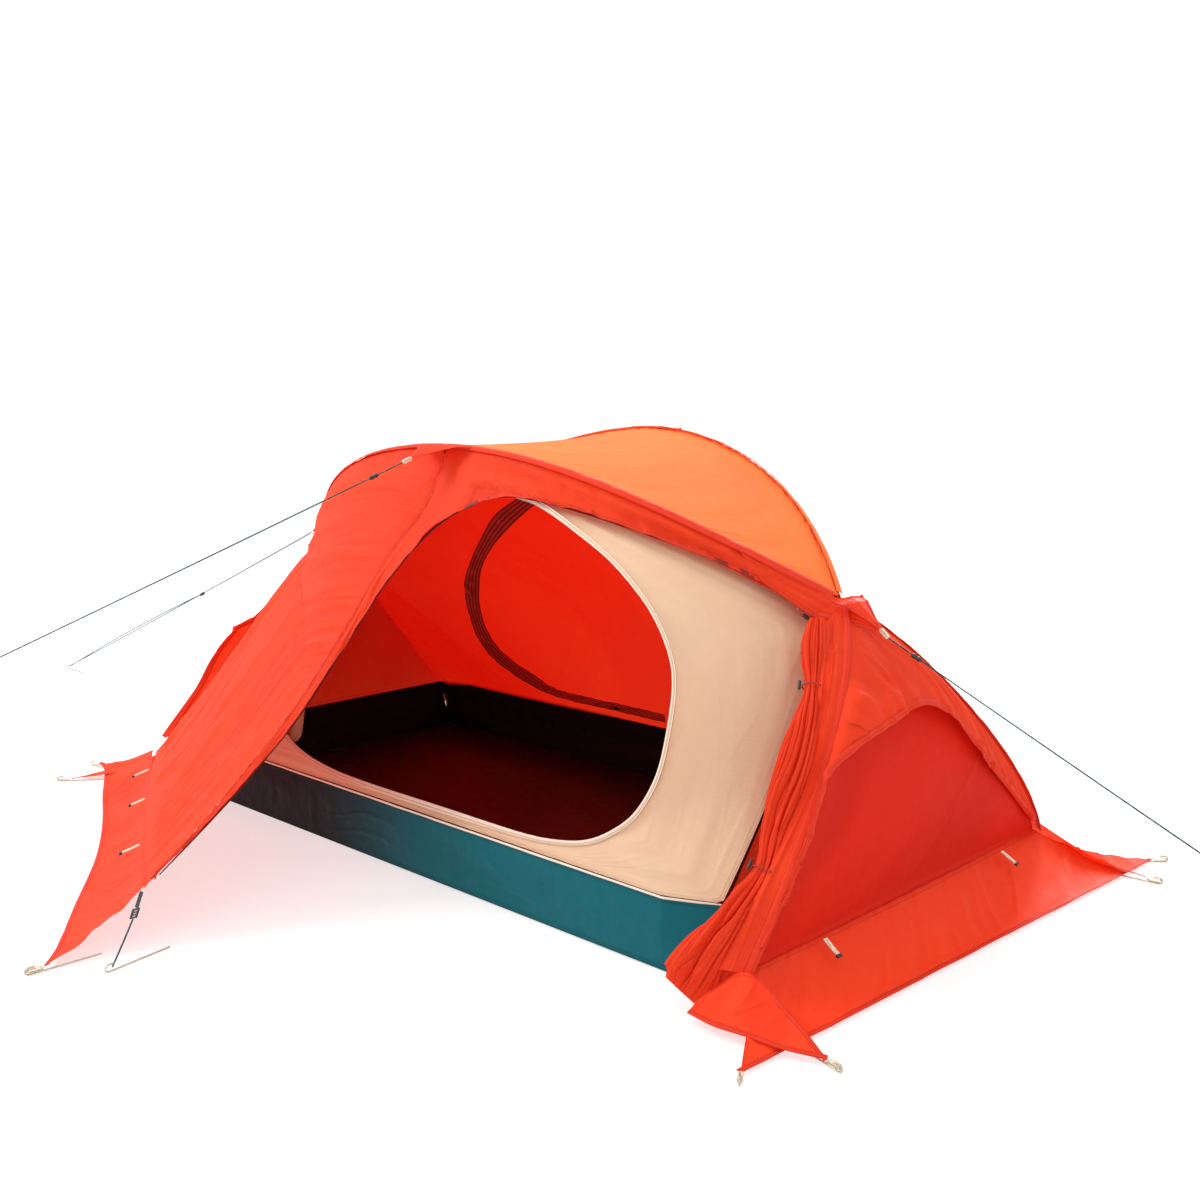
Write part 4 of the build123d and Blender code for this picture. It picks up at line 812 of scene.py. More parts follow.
# the tub's shade_col is the near black of the painted shade on its walls
M["tub"] = cloth_mat("tub_teal", (0.002, 0.110, 0.135), (0.001, 0.045, 0.058), rough=0.5, rip=5.0, shade_col=(0.008, 0.007, 0.010), spec=0.12)
M["tub_in"] = cloth_mat("tub_inside_black", (0.010, 0.008, 0.009), (0.003, 0.002, 0.003), rough=0.45, rip=5.0, spec=0.25)
M["floor_in"] = cloth_mat("tub_floor_dark", (0.022, 0.008, 0.006), (0.006, 0.003, 0.003), rough=0.4, rip=5.0, spec=0.25)
M["zip"] = cloth_mat("zip_tape_dark_red", (0.30, 0.022, 0.014), (0.12, 0.008, 0.006), rough=0.6, trans=0.15, rip=3.0)
M["zipl"] = cloth_mat("zip_tape_light_stripe", (0.60, 0.075, 0.045), (0.30, 0.02, 0.012), rough=0.6, trans=0.15, rip=3.0)
M["velcro"] = cloth_mat("velcro_patch", (0.07, 0.05, 0.045), (0.02, 0.015, 0.015), rough=0.9, rip=1.5)


def q(n):
    return max(8, int(n * QUICK))


def st(x, a, b):
    k = np.clip((x - a) / (b - a), 0, 1)
    return k * k * (3 - 2 * k)


def pucker(E, along, seed, a=1.3, reach=22.0, wl=11.0):
    return a * np.exp(-E / reach) * noise(along / wl, E / 60.0, seed)


def vest_panel(side, seed):
    G = vest_grid(side, q(300), q(130), 0.006, 1.0, 0.5, 0.5)
    U, V_ = lengths(G)
    W = V_[:, -1:]
    r = np.linspace(0, 1, G.shape[0])[:, None]
    E = np.minimum(np.minimum(V_, W - V_), U[-1:] - U)
    env = st(E, 2, 90)
    d = env * (0.35 + 0.9 * r) * (8.0 * soft(V_, U, 95, 800, seed) + 9.0 * crease(V_, U, 70, 620, seed + 3) + 3.4 * soft(V_, U, 30, 420, seed + 5) + 3.0 * crease(V_, U, 30, 380, seed + 6))
    near = st(V_ / np.maximum(W, 1), 0.62, 0.95)
    d += near * st(E, 1, 30) * (4.6 * crease(V_, U, 22, 420, seed + 9) + 2.2 * soft(V_, U, 15, 260, seed + 10))
    topf = np.exp(-((r - 0.10) / 0.14) ** 2)                 # creases that fan out below the guy tab
    d += topf * st(E, 2, 50) * (4.0 * crease(V_ + 0.2 * U, U, 26, 200, seed + 15) + 3.0 * crease(U * 0.7 + V_ * 0.7, V_ * 0.7 - U * 0.7, 40, 220, seed + 16))
    d += 5.0 * env * crease(V_ * 0.8 + U * 0.6, U * 0.8 - V_ * 0.6, 70, 300, seed + 21) * st(r, 0.25, 0.6)
    d += pucker(V_, U, seed + 12) + pucker(W - V_, U, seed + 13) + pucker(U[-1:] - U, V_, seed + 14)
    if side == "FL":                                         # eased outward over the rim of the inner door
        d += 26 * np.exp(-((G - V3(-640, -388, 664)) ** 2).sum(-1) / (2 * 150.0 ** 2))
    return sheetpart(G, d, amp=7.0)


FLY = {}
o = make("fly_front_left_cloth", [vest_panel("FL", 11)], ["fly"], node=["fly_front_left"])
for side, nm, sd in (("BL", "fly_rear_left", 31), ("BR", "fly_rear_right", 51)):
    o = make(nm + "_cloth", [vest_panel(side, sd)], ["fly"], node=[nm])

# fixed band under the front arch and storm flap, with the hemmed zip edge
G = band_grid(q(520), q(44), 0.5)
U, V_ = lengths(G)
W = V_[:, -1:]
w = V_ / np.maximum(W, 1)
half = st(U, 900, 1300)
d = st(w, 0.02, 0.5) * (1 - 0.5 * half) * (7.0 * soft(V_, U, 42, 330, 71) + 8.0 * crease(V_, U, 26, 300, 72) + 3.4 * soft(V_ * 0.7 + U * 0.7, U * 0.7 - V_ * 0.7, 34, 160, 73))
d += st(w, 0.6, 1.0) * 3.0 * noise(U / 55.0, 0.5, 75) * (1 - half)
d += pucker(V_, U, 76) + pucker(W - V_, U, 77, 1.0)
band = sheetpart(G, d, amp=7.0)
inw = G[:, -4] - G[:, -1]
hem = hempart(band["P"][:, -1], inw, 12, 2.4, mat=1, wob=0.8, seed=78)
o = make("fly_door_band_cloth", [band, hem], ["fly", "fly_edge"], node=["fly_door_band"])

# roof between the two poles
G = roof(q(380), q(110), lim=0.985, sag=14.0, gap=0.5)
U, V_ = lengths(G)
W = V_[:, -1:]
E = np.minimum(V_, W - V_)
d = st(E, 4, 90) * (3.2 * soft(U, V_, 190, 700, 91) + 2.6 * crease(U, V_, 130, 500, 92) + 1.0 * soft(U, V_, 48, 300, 93)) + pucker(V_, U, 94, 2.2, 34, 14) + pucker(W - V_, U, 95, 2.2, 34, 14)
# the roof's orange is painted glow of light through the cloth
o = make("fly_roof_cloth", [sheetpart(G, d, amp=5.0)], ["roof"], node=["fly_roof"])

# pole sleeves, sewn under the arch seams
parts = []
# painted light and shade: the front sleeve takes the darker binding red as painted shade, and the rear sleeve takes the
# roof's painted orange glow
for arch, mt, sd in ((front_arch, 0, 101), (rear_arch, 1, 103)):
    Gs = band_on(arch(np.linspace(-0.985, 0.985, 300)), 12.5, 4.0, q(380), 9)
    Us, Vs = lengths(Gs)
    ws = 1 - np.abs(Vs / Vs[:, -1:] * 2 - 1)
    parts.append(sheetpart(Gs, 0.9 * noise(Us / 12.0, ws * 1.2, sd) * ws + 0.8 * noise(Us / 60.0, 2.2, sd + 1), amp=3.0, mat=mt))
o = make("pole_sleeves_cloth", parts, ["fly_edge", "roof"], node=["pole_sleeves"])

# hoods over the end walls, with their gathered lips, and the recessed gables
parts = []
for x, sd in (("L", 111), ("R", 121)):
    G = hood_grid(x, q(320), q(90), 0.5)
    U, V_ = lengths(G)
    W = V_[:, -1:]
    w = V_ / np.maximum(W, 1)
    Ln = U[-1:].mean()
    cen = np.exp(-((U / Ln - 0.5) / 0.30) ** 2)
    d = st(w, 0.03, 0.55) * (0.35 + cen) * np.minimum(1, W / 160.0) * (9.0 * soft(U, V_, 74, 520, sd) + 11.0 * crease(U, V_, 46, 420, sd + 2) + 3.6 * soft(U, V_, 24, 260, sd + 4))
    d += st(w, 0.80, 1.0) * 5.0 * noise(U / 38.0, 0.5, sd + 6) * np.minimum(1, W / 120.0)
    d += pucker(V_, U, sd + 7)
    part = sheetpart(G, d, ref=(0, 0, 300), amp=8.0)
    parts.append(part)
    lip = part["P"][:, -1]
    inw = part["P"][:, -5] - part["P"][:, -1]
    parts.append(hempart(lip, inw, 17, 7.0, mat=1, wob=4.0, seed=sd + 8))
    # a second fold of the drawn-in lip, behind the first
    parts.append(hempart(lip + inw / (np.linalg.norm(inw, axis=1, keepdims=True) + 1e-9) * 13 - V3(3.0 if x == "R" else -3.0, 0, 0), inw, 9, 4.0, mat=0, wob=2.4, seed=sd + 9))
for kq in ("FR", "FL", "BR", "BL"):
    lg = leg(kq, np.linspace(0.0, 1.0, q(260)))
    other = np.array([V3(0, -1500 if kq[0] == "F" else 1500, 300)]) - lg
    other /= np.linalg.norm(other, axis=1, keepdims=True)
    parts.append(hempart(lg - other * 10, other, 22, 7.0, mat=1, wob=0.9, seed=126))
o = make("fly_hoods_cloth", parts, ["fly", "fly_edge"], node=["fly_hoods"])
parts = []
for x, sd in (("L", 131), ("R", 136)):
    G = gable_grid(x, q(170), q(150), 14.0, 12.0)
    down = np.linspace(0, 1, q(12))[1:, None, None]
    G = np.concatenate([G, G[-1:] + down * V3(6 if x == "R" else -6, 0, -44)], 0)
    U, V_ = lengths(G)
    W = V_[:, -1:]
    E = np.minimum(np.minimum(V_, W - V_), U[-1:] - U)
    d = st(E, 4, 120) * (5.0 * soft(V_, U, 190, 500, sd) + 4.5 * crease(V_ * 0.8 + U * 0.6, U * 0.8 - V_ * 0.6, 120, 500, sd + 1) + 0.8 * soft(V_, U, 50, 300, sd + 2))
    d += pucker(V_, U, sd + 3, 1.0) + pucker(W - V_, U, sd + 4, 1.0) + pucker(U[-1:] - U, V_, sd + 5, 2.0, 30, 16)
    parts.append(sheetpart(G, d, amp=5.0))
# the gables take the darker painted-shade red
o = make("fly_gables_cloth", parts, ["fly_dark"], node=["fly_gables"])


# ---------------------------------------------------------------- ground skirts
def skirt_part(inner, outer, seed, n=300, m=60, tuck=16.0, hemw=13.0, amp=9.0, ref=(0, 0, -2000), flat_end=0.0):
    A, B_ = smooth(inner, 160), smooth(outer, 200)
    Gg = between(A, B_, q(n), q(m), -tuck, 0)
    U, V_ = lengths(Gg)
    W = V_[:, -1:]
    w = V_ / np.maximum(W, 1)
    Gg[..., 2] -= 0.0 * w
    hill = np.sin(np.pi * np.clip(w, 0, 1))
    # it hangs from the hem, then lies on the ground: lower in the middle than the straight line
    Gg[..., 2] = np.maximum(Gg[..., 2] - 20 * hill * (Gg[..., 2] > 8), 6 + 0 * w)
    d = hill * (amp * soft(U, V_, 150, 500, seed) + 0.8 * amp * crease(U, V_, 90, 420, seed + 1) + 0.3 * amp * soft(U, V_, 36, 240, seed + 2))
    d += 0.9 * amp * hill * crease(U * 0.75 + V_ * 0.66, V_ * 0.75 - U * 0.66, 110, 380, seed + 8)
    d += pucker(V_, U, seed + 3, 2.0, 26, 15) + st(w, 0.7, 1.0) * 2.5 * np.abs(noise(U / 110.0, 0.3, seed + 4))
    p = sheetpart(Gg, d, ref=ref, amp=8.0, floor=2.6)
    p["P"] = p["P"]
    inw = p["P"][:, -5] - p["P"][:, -1]
    edge = p["P"][:, -1].copy()
    edge[:, 2] = np.maximum(edge[:, 2], 2.6)
    h = hempart(edge, inw, hemw, 2.2, mat=1, wob=0.3, seed=seed + 5)
    h["P"][..., 2] = np.maximum(h["P"][..., 2], 0.6)
    return [p, h]


SR_IN, SR_OUT = [(1232, -588, 82), (1240, 50, 80), (1224, 690, 82)], [(1379, -805, 7), (1415, 45, 7), (1451, 888, 7)]
SL_IN, SL_OUT = [(-1224, -584, 82), (-1240, 50, 80), (-1224, 690, 82)], [(-1389, -797, 7), (-1420, 45, 7), (-1451, 888, 7)]
o = make("skirt_ends_cloth", skirt_part(SR_IN, SR_OUT, 141, tuck=20) + skirt_part(SL_IN, SL_OUT, 151, tuck=20), ["fly", "fly_edge"], node=["skirt_ends"])
INF = [(-1222, -596, 97), (-610, -944, 116), (-8, -1272, 134)]
INR = [(-1222, 704, 97), (-610, 1006, 116), (-4, 1300, 134)]
o = make("skirt_front_left_cloth", skirt_part(INF, SKIRT_FL, 161, tuck=6), ["fly", "fly_edge"], node=["skirt_front_left"])
mir = [(-x, y, z) for x, y, z in SKIRT_RL]
o = make("skirt_rear_cloth", skirt_part(INR, SKIRT_RL, 171, tuck=6) + skirt_part([(-x, y, z) for x, y, z in INR], mir, 181, tuck=6), ["fly", "fly_edge"], node=["skirt_rear"])
# loose front flap on the right, dropped over the end skirt
G = between(smooth([(1172, -624, 58), (1204, -610, 86), (1234, -604, 98), (1262, -606, 92), (1300, -612, 82)], 60),
            smooth([(1160, -704, 20), (1236, -716, 22), (1316, -706, 22), (1400, -690, 18), (1470, -656, 12)], 60), q(120), q(70))
U, V_ = lengths(G)
w = V_ / V_[:, -1:]
hill = np.sin(np.pi * np.clip(w, 0, 1)) ** 0.7
d = hill * (7 * soft(U, V_, 50, 400, 191) + 9 * crease(U, V_, 30, 300, 192) + 6 * crease(U * 0.7 + V_ * 0.7, V_ * 0.7 - U * 0.7, 50, 200, 193))
p = sheetpart(G, d, ref=(1200, -600, -500), amp=9.0, floor=4.0)
h = hempart(p["P"][:, -1], p["P"][:, -5] - p["P"][:, -1], 11, 2.4, mat=1, wob=0.6, seed=194)
h2 = hempart(p["P"][-1], p["P"][-5] - p["P"][-1], 9, 2.2, mat=1, wob=0.6, seed=195)
o = make("skirt_front_right_cloth", [p, h, h2], ["fly", "fly_edge"], node=["skirt_front_right"])

# ---------------------------------------------------------------- the tied-back half of the front door
GC = np.array([g[0] for g in GATHER], float)
GR = np.array([[g[1], g[2], 0] for g in GATHER], float)
C_ = smooth(GC, 400)
R_ = smooth(GR, 400)
sl = np.r_[0, np.cumsum(np.linalg.norm(np.diff(C_, axis=0), axis=1))]
nn, mm = q(260), q(260)
tt = np.linspace(0, sl[-1], nn)
C_ = np.stack([np.interp(tt, sl, C_[:, k]) for k in range(3)], -1)
R_ = np.stack([np.interp(tt, sl, R_[:, k]) for k in range(2)], -1)
T_ = np.gradient(C_, axis=0)
T_ /= np.linalg.norm(T_, axis=1, keepdims=True)
th = np.linspace(0, 2 * np.pi, mm) - np.pi / 2         # the two long borders meet at the back
G = np.zeros((nn, mm, 3))
fold_shade = np.zeros((nn, mm))
tw = 0.5 * noise(tt / 300.0, 1.5, 201)
for i in range(nn):
    s_ = np.cross(T_[i], V3(0.72, -0.69, 0.0))
    s_ /= np.linalg.norm(s_)
    n_ = np.cross(s_, T_[i])
    t_i = np.full(mm, tt[i])
    a_ = th + tw[i]
    x_ = np.sin(th / 2 + np.pi / 4)                     # repeats where the borders meet
    k1 = np.clip(1 - np.abs(noise(a_ * 1.55 + 0.3 * noise(t_i / 120.0, a_, 208), t_i / 520.0, 202)) * 2.6, 0, 1)
    k2 = np.clip(1 - np.abs(noise(a_ * 3.6 + 0.4 * noise(t_i / 90.0, a_, 209), t_i / 360.0, 204)) * 2.8, 0, 1)
    k3 = np.clip(1 - np.abs(noise(a_ * 7.5, t_i / 200.0, 206)) * 3.0, 0, 1)
    lump = 0.16 * noise(a_ * 0.9 + 2, t_i / 110.0, 205)
    pinch = np.exp(-((tt[i] - 165) / 22.0) ** 2) + np.exp(-((tt[i] - 560) / 26.0) ** 2)
    rr = 1.0 - (0.40 * k1 ** 1.6 + 0.22 * k2 ** 1.6 + 0.08 * k3) * (1 - 0.35 * pinch) + lump * (1 - pinch)
    G[i] = C_[i] + s_ * (R_[i, 0] * rr * np.cos(th))[:, None] * 1.15 + n_ * (R_[i, 1] * rr * np.sin(th))[:, None] * 1.15
    # painted shade in the creases of the gathered bundle, through fold_shade
    fold_shade[i] = -(k1 ** 2) * 0.9 - 0.5 * k2 ** 2 - 0.2 * k3
G[..., 2] = np.maximum(G[..., 2], 4.0)
U, V_ = lengths(G)
gp = {"P": G, "ring": False, "uv": (np.broadcast_to(U.mean(1, keepdims=True), U.shape), V_), "edge": np.minimum(V_, V_[:, -1:] - V_) + 3, "fold_shade": np.clip(fold_shade, -1, 1),
      "mat": 0, "tone": np.zeros((nn, mm)), "back": None}
# the part of the door that runs from the leg seam into the bundle
lg = resample(leg("FR", np.linspace(0.03, 1.0, 200)), q(220))
cb = resample(C_, q(220), 0.03, 0.93)
n2 = q(60)
web = np.array([[lg[i] + (cb[i] - lg[i]) * j / (n2 - 1) for j in range(n2)] for i in range(len(lg))])
Uw, Vw = lengths(web)
ww = Vw / Vw[:, -1:]
dw = np.sin(np.pi * ww) * (10.0 * soft(Vw, Uw, 30, 420, 207) + 9.0 * crease(Vw, Uw, 20, 360, 208) + 4.0 * crease(Vw * 0.8 + Uw * 0.5, Uw * 0.8 - Vw * 0.5, 16, 150, 209)) + np.sin(np.pi * ww) * 12
webp = sheetpart(web, dw, ref=(0, 0, 300), amp=8.0, edges="l")
o = make("fly_door_gathered_cloth", [gp, webp], ["fly"], node=["fly_door_gathered"])

# ================================================================ inner tent
G = wall_ring(q(460), q(60))
U, V_ = lengths(G)
W = V_[:, -1:]
E = np.minimum(V_, W - V_)
d = st(E, 2, 60) * (2.2 * soft(V_, U, 60, 500, 211) + 2.6 * crease(V_, U, 36, 330, 212) + 2.4 * crease(U, V_, 60, 260, 213)) + pucker(W - V_, U, 214, 0.8, 16) + pucker(V_, U, 215, 1.0)
wallp = sheetpart(G, d, ring=True, ref=(0, 500, 500), amp=5.0, edges="lr")
rim_in = wallp["P"][:, -1]
bindp = hempart(rim_in, wallp["P"][:, -4] - rim_in, 8.0, 3.2, mat=1, wob=0.4, seed=216, closed=True)
o = make("inner_front_wall_cloth", [wallp, bindp], ["inner", "bind"], node=["inner_front_wall"])
# the rear wall, ends and roof of the inner are coloured red as painted light from the fly
G = wall_rear(q(240), q(90))
U, V_ = lengths(G)
W = V_[:, -1:]
E = np.minimum(V_, W - V_)
G[..., 2] -= 12 * np.linspace(0, 1, G.shape[1])[None, :] ** 8
d = st(E, 2, 80) * (3.0 * soft(U, V_, 130, 600, 221) + 2.2 * crease(U, V_, 80, 400, 222) + 1.0 * soft(U * 0.7 + V_ * 0.7, V_ * 0.7 - U * 0.7, 40, 300, 223))
rear_wall = sheetpart(G, d, ref=(0, 0, 400), amp=5.0)
o = make("inner_rear_wall_cloth", [rear_wall], ["inner_red"], node=["inner_rear_wall"])
parts = []
for x, sd in (("L", 231), ("R", 235)):
    G = wall_end(x, q(110), q(90))
    U, V_ = lengths(G)
    E = np.minimum(V_, V_[:, -1:] - V_)
    G[..., 2] -= 12 * np.linspace(0, 1, G.shape[0])[:, None] ** 8
    parts.append(sheetpart(G, st(E, 2, 80) * (2.5 * soft(V_, U, 110, 500, sd) + 1.8 * crease(V_, U, 70, 400, sd + 1)), amp=5.0))
o = make("inner_ends_cloth", parts, ["inner_red"], node=["inner_ends"])
G = roof(q(240), q(70), in_front_arch, in_rear_arch, 0.985, 22.0, 0.5)
U, V_ = lengths(G)
E = np.minimum(V_, V_[:, -1:] - V_)
o = make("inner_roof_cloth", [sheetpart(G, st(E, 4, 80) * (2.5 * soft(U, V_, 120, 500, 241) + 1.5 * crease(U, V_, 80, 400, 242)), amp=5.0)], ["inner_red"], node=["inner_roof"])

# tub: teal outside, black inside
l_, w2_ = FLOOR_L / 2 - 1, FLOOR_W / 2 - 1
parts = []
for s in (-1, 1):
    G = tub_side([(-l_, s * w2_, 2.5), (l_, s * w2_, 2.5)], [(-TUB_X, s * TUB_Y, 172), (-960, s * w2_, 172), (960, s * w2_, 172), (TUB_X, s * TUB_Y, 172)], q(420))
    t_ = np.linspace(0, 1, q(44))
    G = G[:, :1] * (1 - t_)[None, :, None] + G[:, -1:] * t_[None, :, None]
    U, V_ = lengths(G)
    w = V_ / V_[:, -1:]
    d = np.sin(np.pi * w) * (4.5 * soft(V_, U, 90, 500, 251 + s) + 4.0 * crease(V_, U, 60, 420, 253 + s) + 3.0 * crease(U, V_, 120, 160, 255 + s)) + 1.0 * noise(U / 30.0, w * 2, 257) * np.sin(np.pi * w)
    # painted shade: the front wall darkens to near black towards the left, under the vestibule; the rear wall takes a
    # fixed 15 per cent of the near-black shade colour
    tone = 1 - st(G[..., 0], -420, 220) if s < 0 else np.full(U.shape, 0.15)
    parts.append(sheetpart(G, d, ref=(0, 0, 90), amp=6.0, tone=tone))
for s in (-1, 1):
    G = tub_side([(s * l_, -w2_, 2.5), (s * l_, w2_, 2.5)], [(s * TUB_X, -TUB_Y, 172), (s * TUB_X, TUB_Y, 172)], q(200))
    t_ = np.linspace(0, 1, q(44))
    G = G[:, :1] * (1 - t_)[None, :, None] + G[:, -1:] * t_[None, :, None]
    U, V_ = lengths(G)
    w = V_ / V_[:, -1:]
    d = np.sin(np.pi * w) * (4.0 * soft(V_, U, 90, 500, 261 + s) + 3.0 * crease(U, V_, 120, 160, 265 + s))
    # painted shade: the ends are darkened a fixed 20 per cent towards the near-black shade colour
    parts.append(sheetpart(G, d, ref=(0, 0, 90), amp=6.0, tone=np.full(U.shape, 0.2)))
# pale binding where the wall is sewn to the tub
bl = resample([(-TUB_X + 4, -TUB_Y, 172), (-960, -w2_, 172), (960, -w2_, 172), (TUB_X - 4, -TUB_Y, 172)], q(300))
lining = [{**p_, "P": p_["P"] - p_["N"] * 1.3, "mat": 0} for p_ in parts]
parts.append(hempart(bl + V3(0, -1.2, 0), np.tile(V3(0, 0, -1.0), (len(bl), 1)), 6.0, 2.6, mat=2, wob=0.3, seed=268))
o = make("tub_walls_cloth", parts, ["tub", "tub_in", "bind"], node=["tub_walls"])
o = make("tub_walls_lining", lining, ["tub_in"])
xs, ys = np.linspace(-l_ - 1, l_ + 1, q(300)), np.linspace(-w2_ - 1, w2_ + 1, q(160))
G = np.stack(np.broadcast_arrays(xs[:, None], ys[None, :], 2.6), -1).astype(float)
U, V_ = lengths(G)
E = np.minimum(np.minimum(U, U[-1:] - U), np.minimum(V_, V_[:, -1:] - V_))
d = st(E, 0, 60) * (3.2 + 2.6 * soft(V_, U, 140, 700, 271) + 2.6 * crease(V_, U, 90, 500, 272) + 2.0 * crease(U * 0.8 + V_ * 0.6, V_ * 0.8 - U * 0.6, 110, 300, 273))
fl = sheetpart(G, d, ref=(0, 0, -500), amp=5.0, floor=2.0)
o = make("tub_floor_cloth", [fl], ["floor_in"], node=["tub_floor"])

# ---------------------------------------------------------------- zips, flaps, the rolled door and the guy tabs
WR_ = rear_wall["P"]


def on_rear(x, z, off):
    k = ((WR_[..., 0] - x) ** 2 + (WR_[..., 2] - z) ** 2)
    i = np.unravel_index(k.argmin(), k.shape)
    return V3(x, WR_[i][1] - off, z)


ra = smooth([on_rear(*a, 9) for a, b in REAR_ZIP], 300)
rb = smooth([on_rear(*b, 9) for a, b in REAR_ZIP], 300)
G = between(ra, rb, q(300), 19)
U, V_ = lengths(G)
d = 2.6 * noise(U / 55.0, V_ / 60.0, 281) + 1.8 * noise(U / 16.0, V_ / 30.0, 282) - 2.0
for i in range(G.shape[0]):
    for j in range(0, 19, 3):
        pass
parts = []
for k in range(9):
    a0, a1 = k * 2, k * 2 + 2
    sub = sheetpart(G[:, a0:a1 + 1], d[:, a0:a1 + 1] + (0.8 if k % 2 else 0), ref=(0, 3000, 300), edges="", amp=5.0, mat=1 if k % 2 else 0)
    parts.append(sub)
o = make("rear_door_zip_tape", parts, ["zip", "zipl"], node=["rear_door_zip"])

# zip round the inner door opening: a tape with its coil
DDl = np.array([(x, front_wall_y(z), z) for x, z in DOOR_D], float)
DDl = resample(smooth(np.vstack([DDl, DDl[:1]]), 580), q(520) + 1)[:-1]
cD = DDl.mean(0)
oD = DDl - cD
oD /= np.linalg.norm(oD, axis=1, keepdims=True)
OFFW = V3(0, -0.973, 0.231)
wv = np.linspace(3, 14, 9)
G = DDl[:, None] + oD[:, None] * wv[None, :, None] + OFFW * 4.2
tape = sheetpart(G, None, ring=True, ref=(0, 3000, 300), edges="lr", mat=0)
mid = DDl + oD * 8.5 + OFFW * 5.0
coil = hempart(mid, oD, 3.2, 2.0, mat=1, wob=0.15, seed=291, closed=True)
o = make("inner_door_zip_tape", [tape, coil], ["bind", "inner"], node=["inner_door_zip"])

# door zip behind the free edge of the band, and the tape under the rear seam
E_ = resample(smooth(OPEN_EDGE, 500), q(420), 0.0, 0.985)
O2, I2 = band_lines(200)
TE = np.gradient(E_, axis=0)
kk = [int(np.argmin(np.linalg.norm(I2 - e, axis=1))) for e in E_]
inn = np.array([O2[k] - I2[k] for k in kk])
room = np.minimum(12.0, 0.45 * np.linalg.norm(inn, axis=1))
inn /= np.linalg.norm(inn, axis=1, keepdims=True) + 1e-9
NE = np.cross(TE, inn)
NE /= np.linalg.norm(NE, axis=1, keepdims=True) + 1e-9
NE *= np.sign((NE * (V3(0, 0, 300) - E_)).sum(1))[:, None]
G = np.stack([E_ + NE * 4 + inn * (np.maximum(room, 4) * w_)[:, None] for w_ in (0.0, 0.33, 0.66, 1.0)], 1)
tape = sheetpart(G, None, ref=(0, 0, 300), edges="", mat=0)
coil = hempart(E_ + NE * 5.2 + inn * 1.5, inn, 3.0, 2.2, mat=1, wob=0.15, seed=293)
o = make("fly_door_zip_tape", [tape, coil], ["zip", "velcro"], node=["fly_door_zip"])
SRl = resample(smooth(SEAM_R, 300), q(240), 0.10, 0.97)
TR = np.gradient(SRl, axis=0)
TR /= np.linalg.norm(TR, axis=1, keepdims=True)
NR = np.cross(TR, V3(1, 0, 0))
NR *= np.sign(NR[:, 1:2])
G = np.stack([SRl + NR * 7 + V3(x_, 0, 0) for x_ in np.linspace(-20, 20, 13)], 1)
U, V_ = lengths(G)
w = np.abs(V_ / V_[:, -1:] * 2 - 1)
flap = sheetpart(G, 0.8 * noise(U / 26.0, V_ / 20.0, 294) * w, ref=(0, 0, 300), edges="lr", mat=0)
o = make("rear_zip_flap_cloth", [flap], ["fly_edge"], node=["rear_zip_flap"])

ROLL = [(-640, -436, 205, 16), (-644, -430, 230, 28), (-648, -410, 330, 32), (-636, -380, 440, 31), (-612, -342, 560, 28), (-580, -306, 670, 26), (-560, -290, 715, 14)]
RC = smooth([r_[:3] for r_ in ROLL], 240)
RR = smooth([(r_[3], 0, 0) for r_ in ROLL], 240)[:, 0]
m_ = q(120)
th = np.linspace(0, 2 * np.pi * 2.35, m_)
G = np.zeros((len(RC), m_, 3))
for i in range(len(RC)):
    z_ = RC[i, 2]
    rr = RR[i] * (0.42 + 0.56 * th / th[-1]) * (1 + 0.05 * noise(th * 0.9, np.full(m_, z_ / 60.0), 296))
    pin = 1 - 0.12 * (np.exp(-((z_ - 350) / 16.0) ** 2) + np.exp(-((z_ - 565) / 16.0) ** 2))
    G[i, :, 0] = RC[i, 0] + rr * pin * np.cos(th + 1.2)
    G[i, :, 1] = RC[i, 1] + rr * pin * 0.8 * np.sin(th + 1.2)
    G[i, :, 2] = z_
U, V_ = lengths(G)
# painted shade: the inner turns of the rolled door are darker, up to about a quarter, through fold_shade
o = make("inner_door_roll_cloth", [{"P": G, "ring": False, "uv": (U, V_), "edge": np.minimum(U, U[-1:] - U) + 1, "fold_shade": np.broadcast_to(-0.5 + 0.5 * th / th[-1], (len(RC), m_)), "mat": 0,
                                     "tone": np.zeros((len(RC), m_)), "back": None}], ["inner"], node=["inner_door_roll"])

parts = []
for k, (a, b, s, w_) in TABS.items():
    a, b, s = V3(*a), V3(*b), V3(*s)
    n_ = np.cross(b - a, s)
    n_ /= np.linalg.norm(n_)
    if n_[2] < 0:
        n_ = -n_
    ts, vs = np.linspace(0.0, 0.985, q(70)), np.linspace(-1, 1, q(60))
    lift = 12 * np.clip(ts / 0.22, 0.30, 1.0)
    G = np.array([[a + (b - a) * t + s * (w_ * (1 - t) ** 1.25 + 7) * v + n_ * (lf - 5 * abs(v) * (1 - t)) for v in vs] for t, lf in zip(ts, lift)])
    U, V_ = lengths(G)
    Ed = np.minimum(V_, V_[:, -1:] - V_)
    fan = np.broadcast_to(vs[None, :] * 60, U.shape)
    d = st(Ed, 0, 14) * (2.2 * soft(fan, U, 15, 160, 301) + 2.2 * crease(fan, U, 11, 150, 302))
    p_ = sheetpart(G, d, ref=(0, 0, 300), amp=3.0, edges="lr")
    parts.append(p_)
    for j, jj in ((0, 3), (-1, -4)):
        parts.append(hempart(p_["P"][:, j], p_["P"][:, jj] - p_["P"][:, j], 8, 2.0, mat=1, wob=0.3, seed=305))
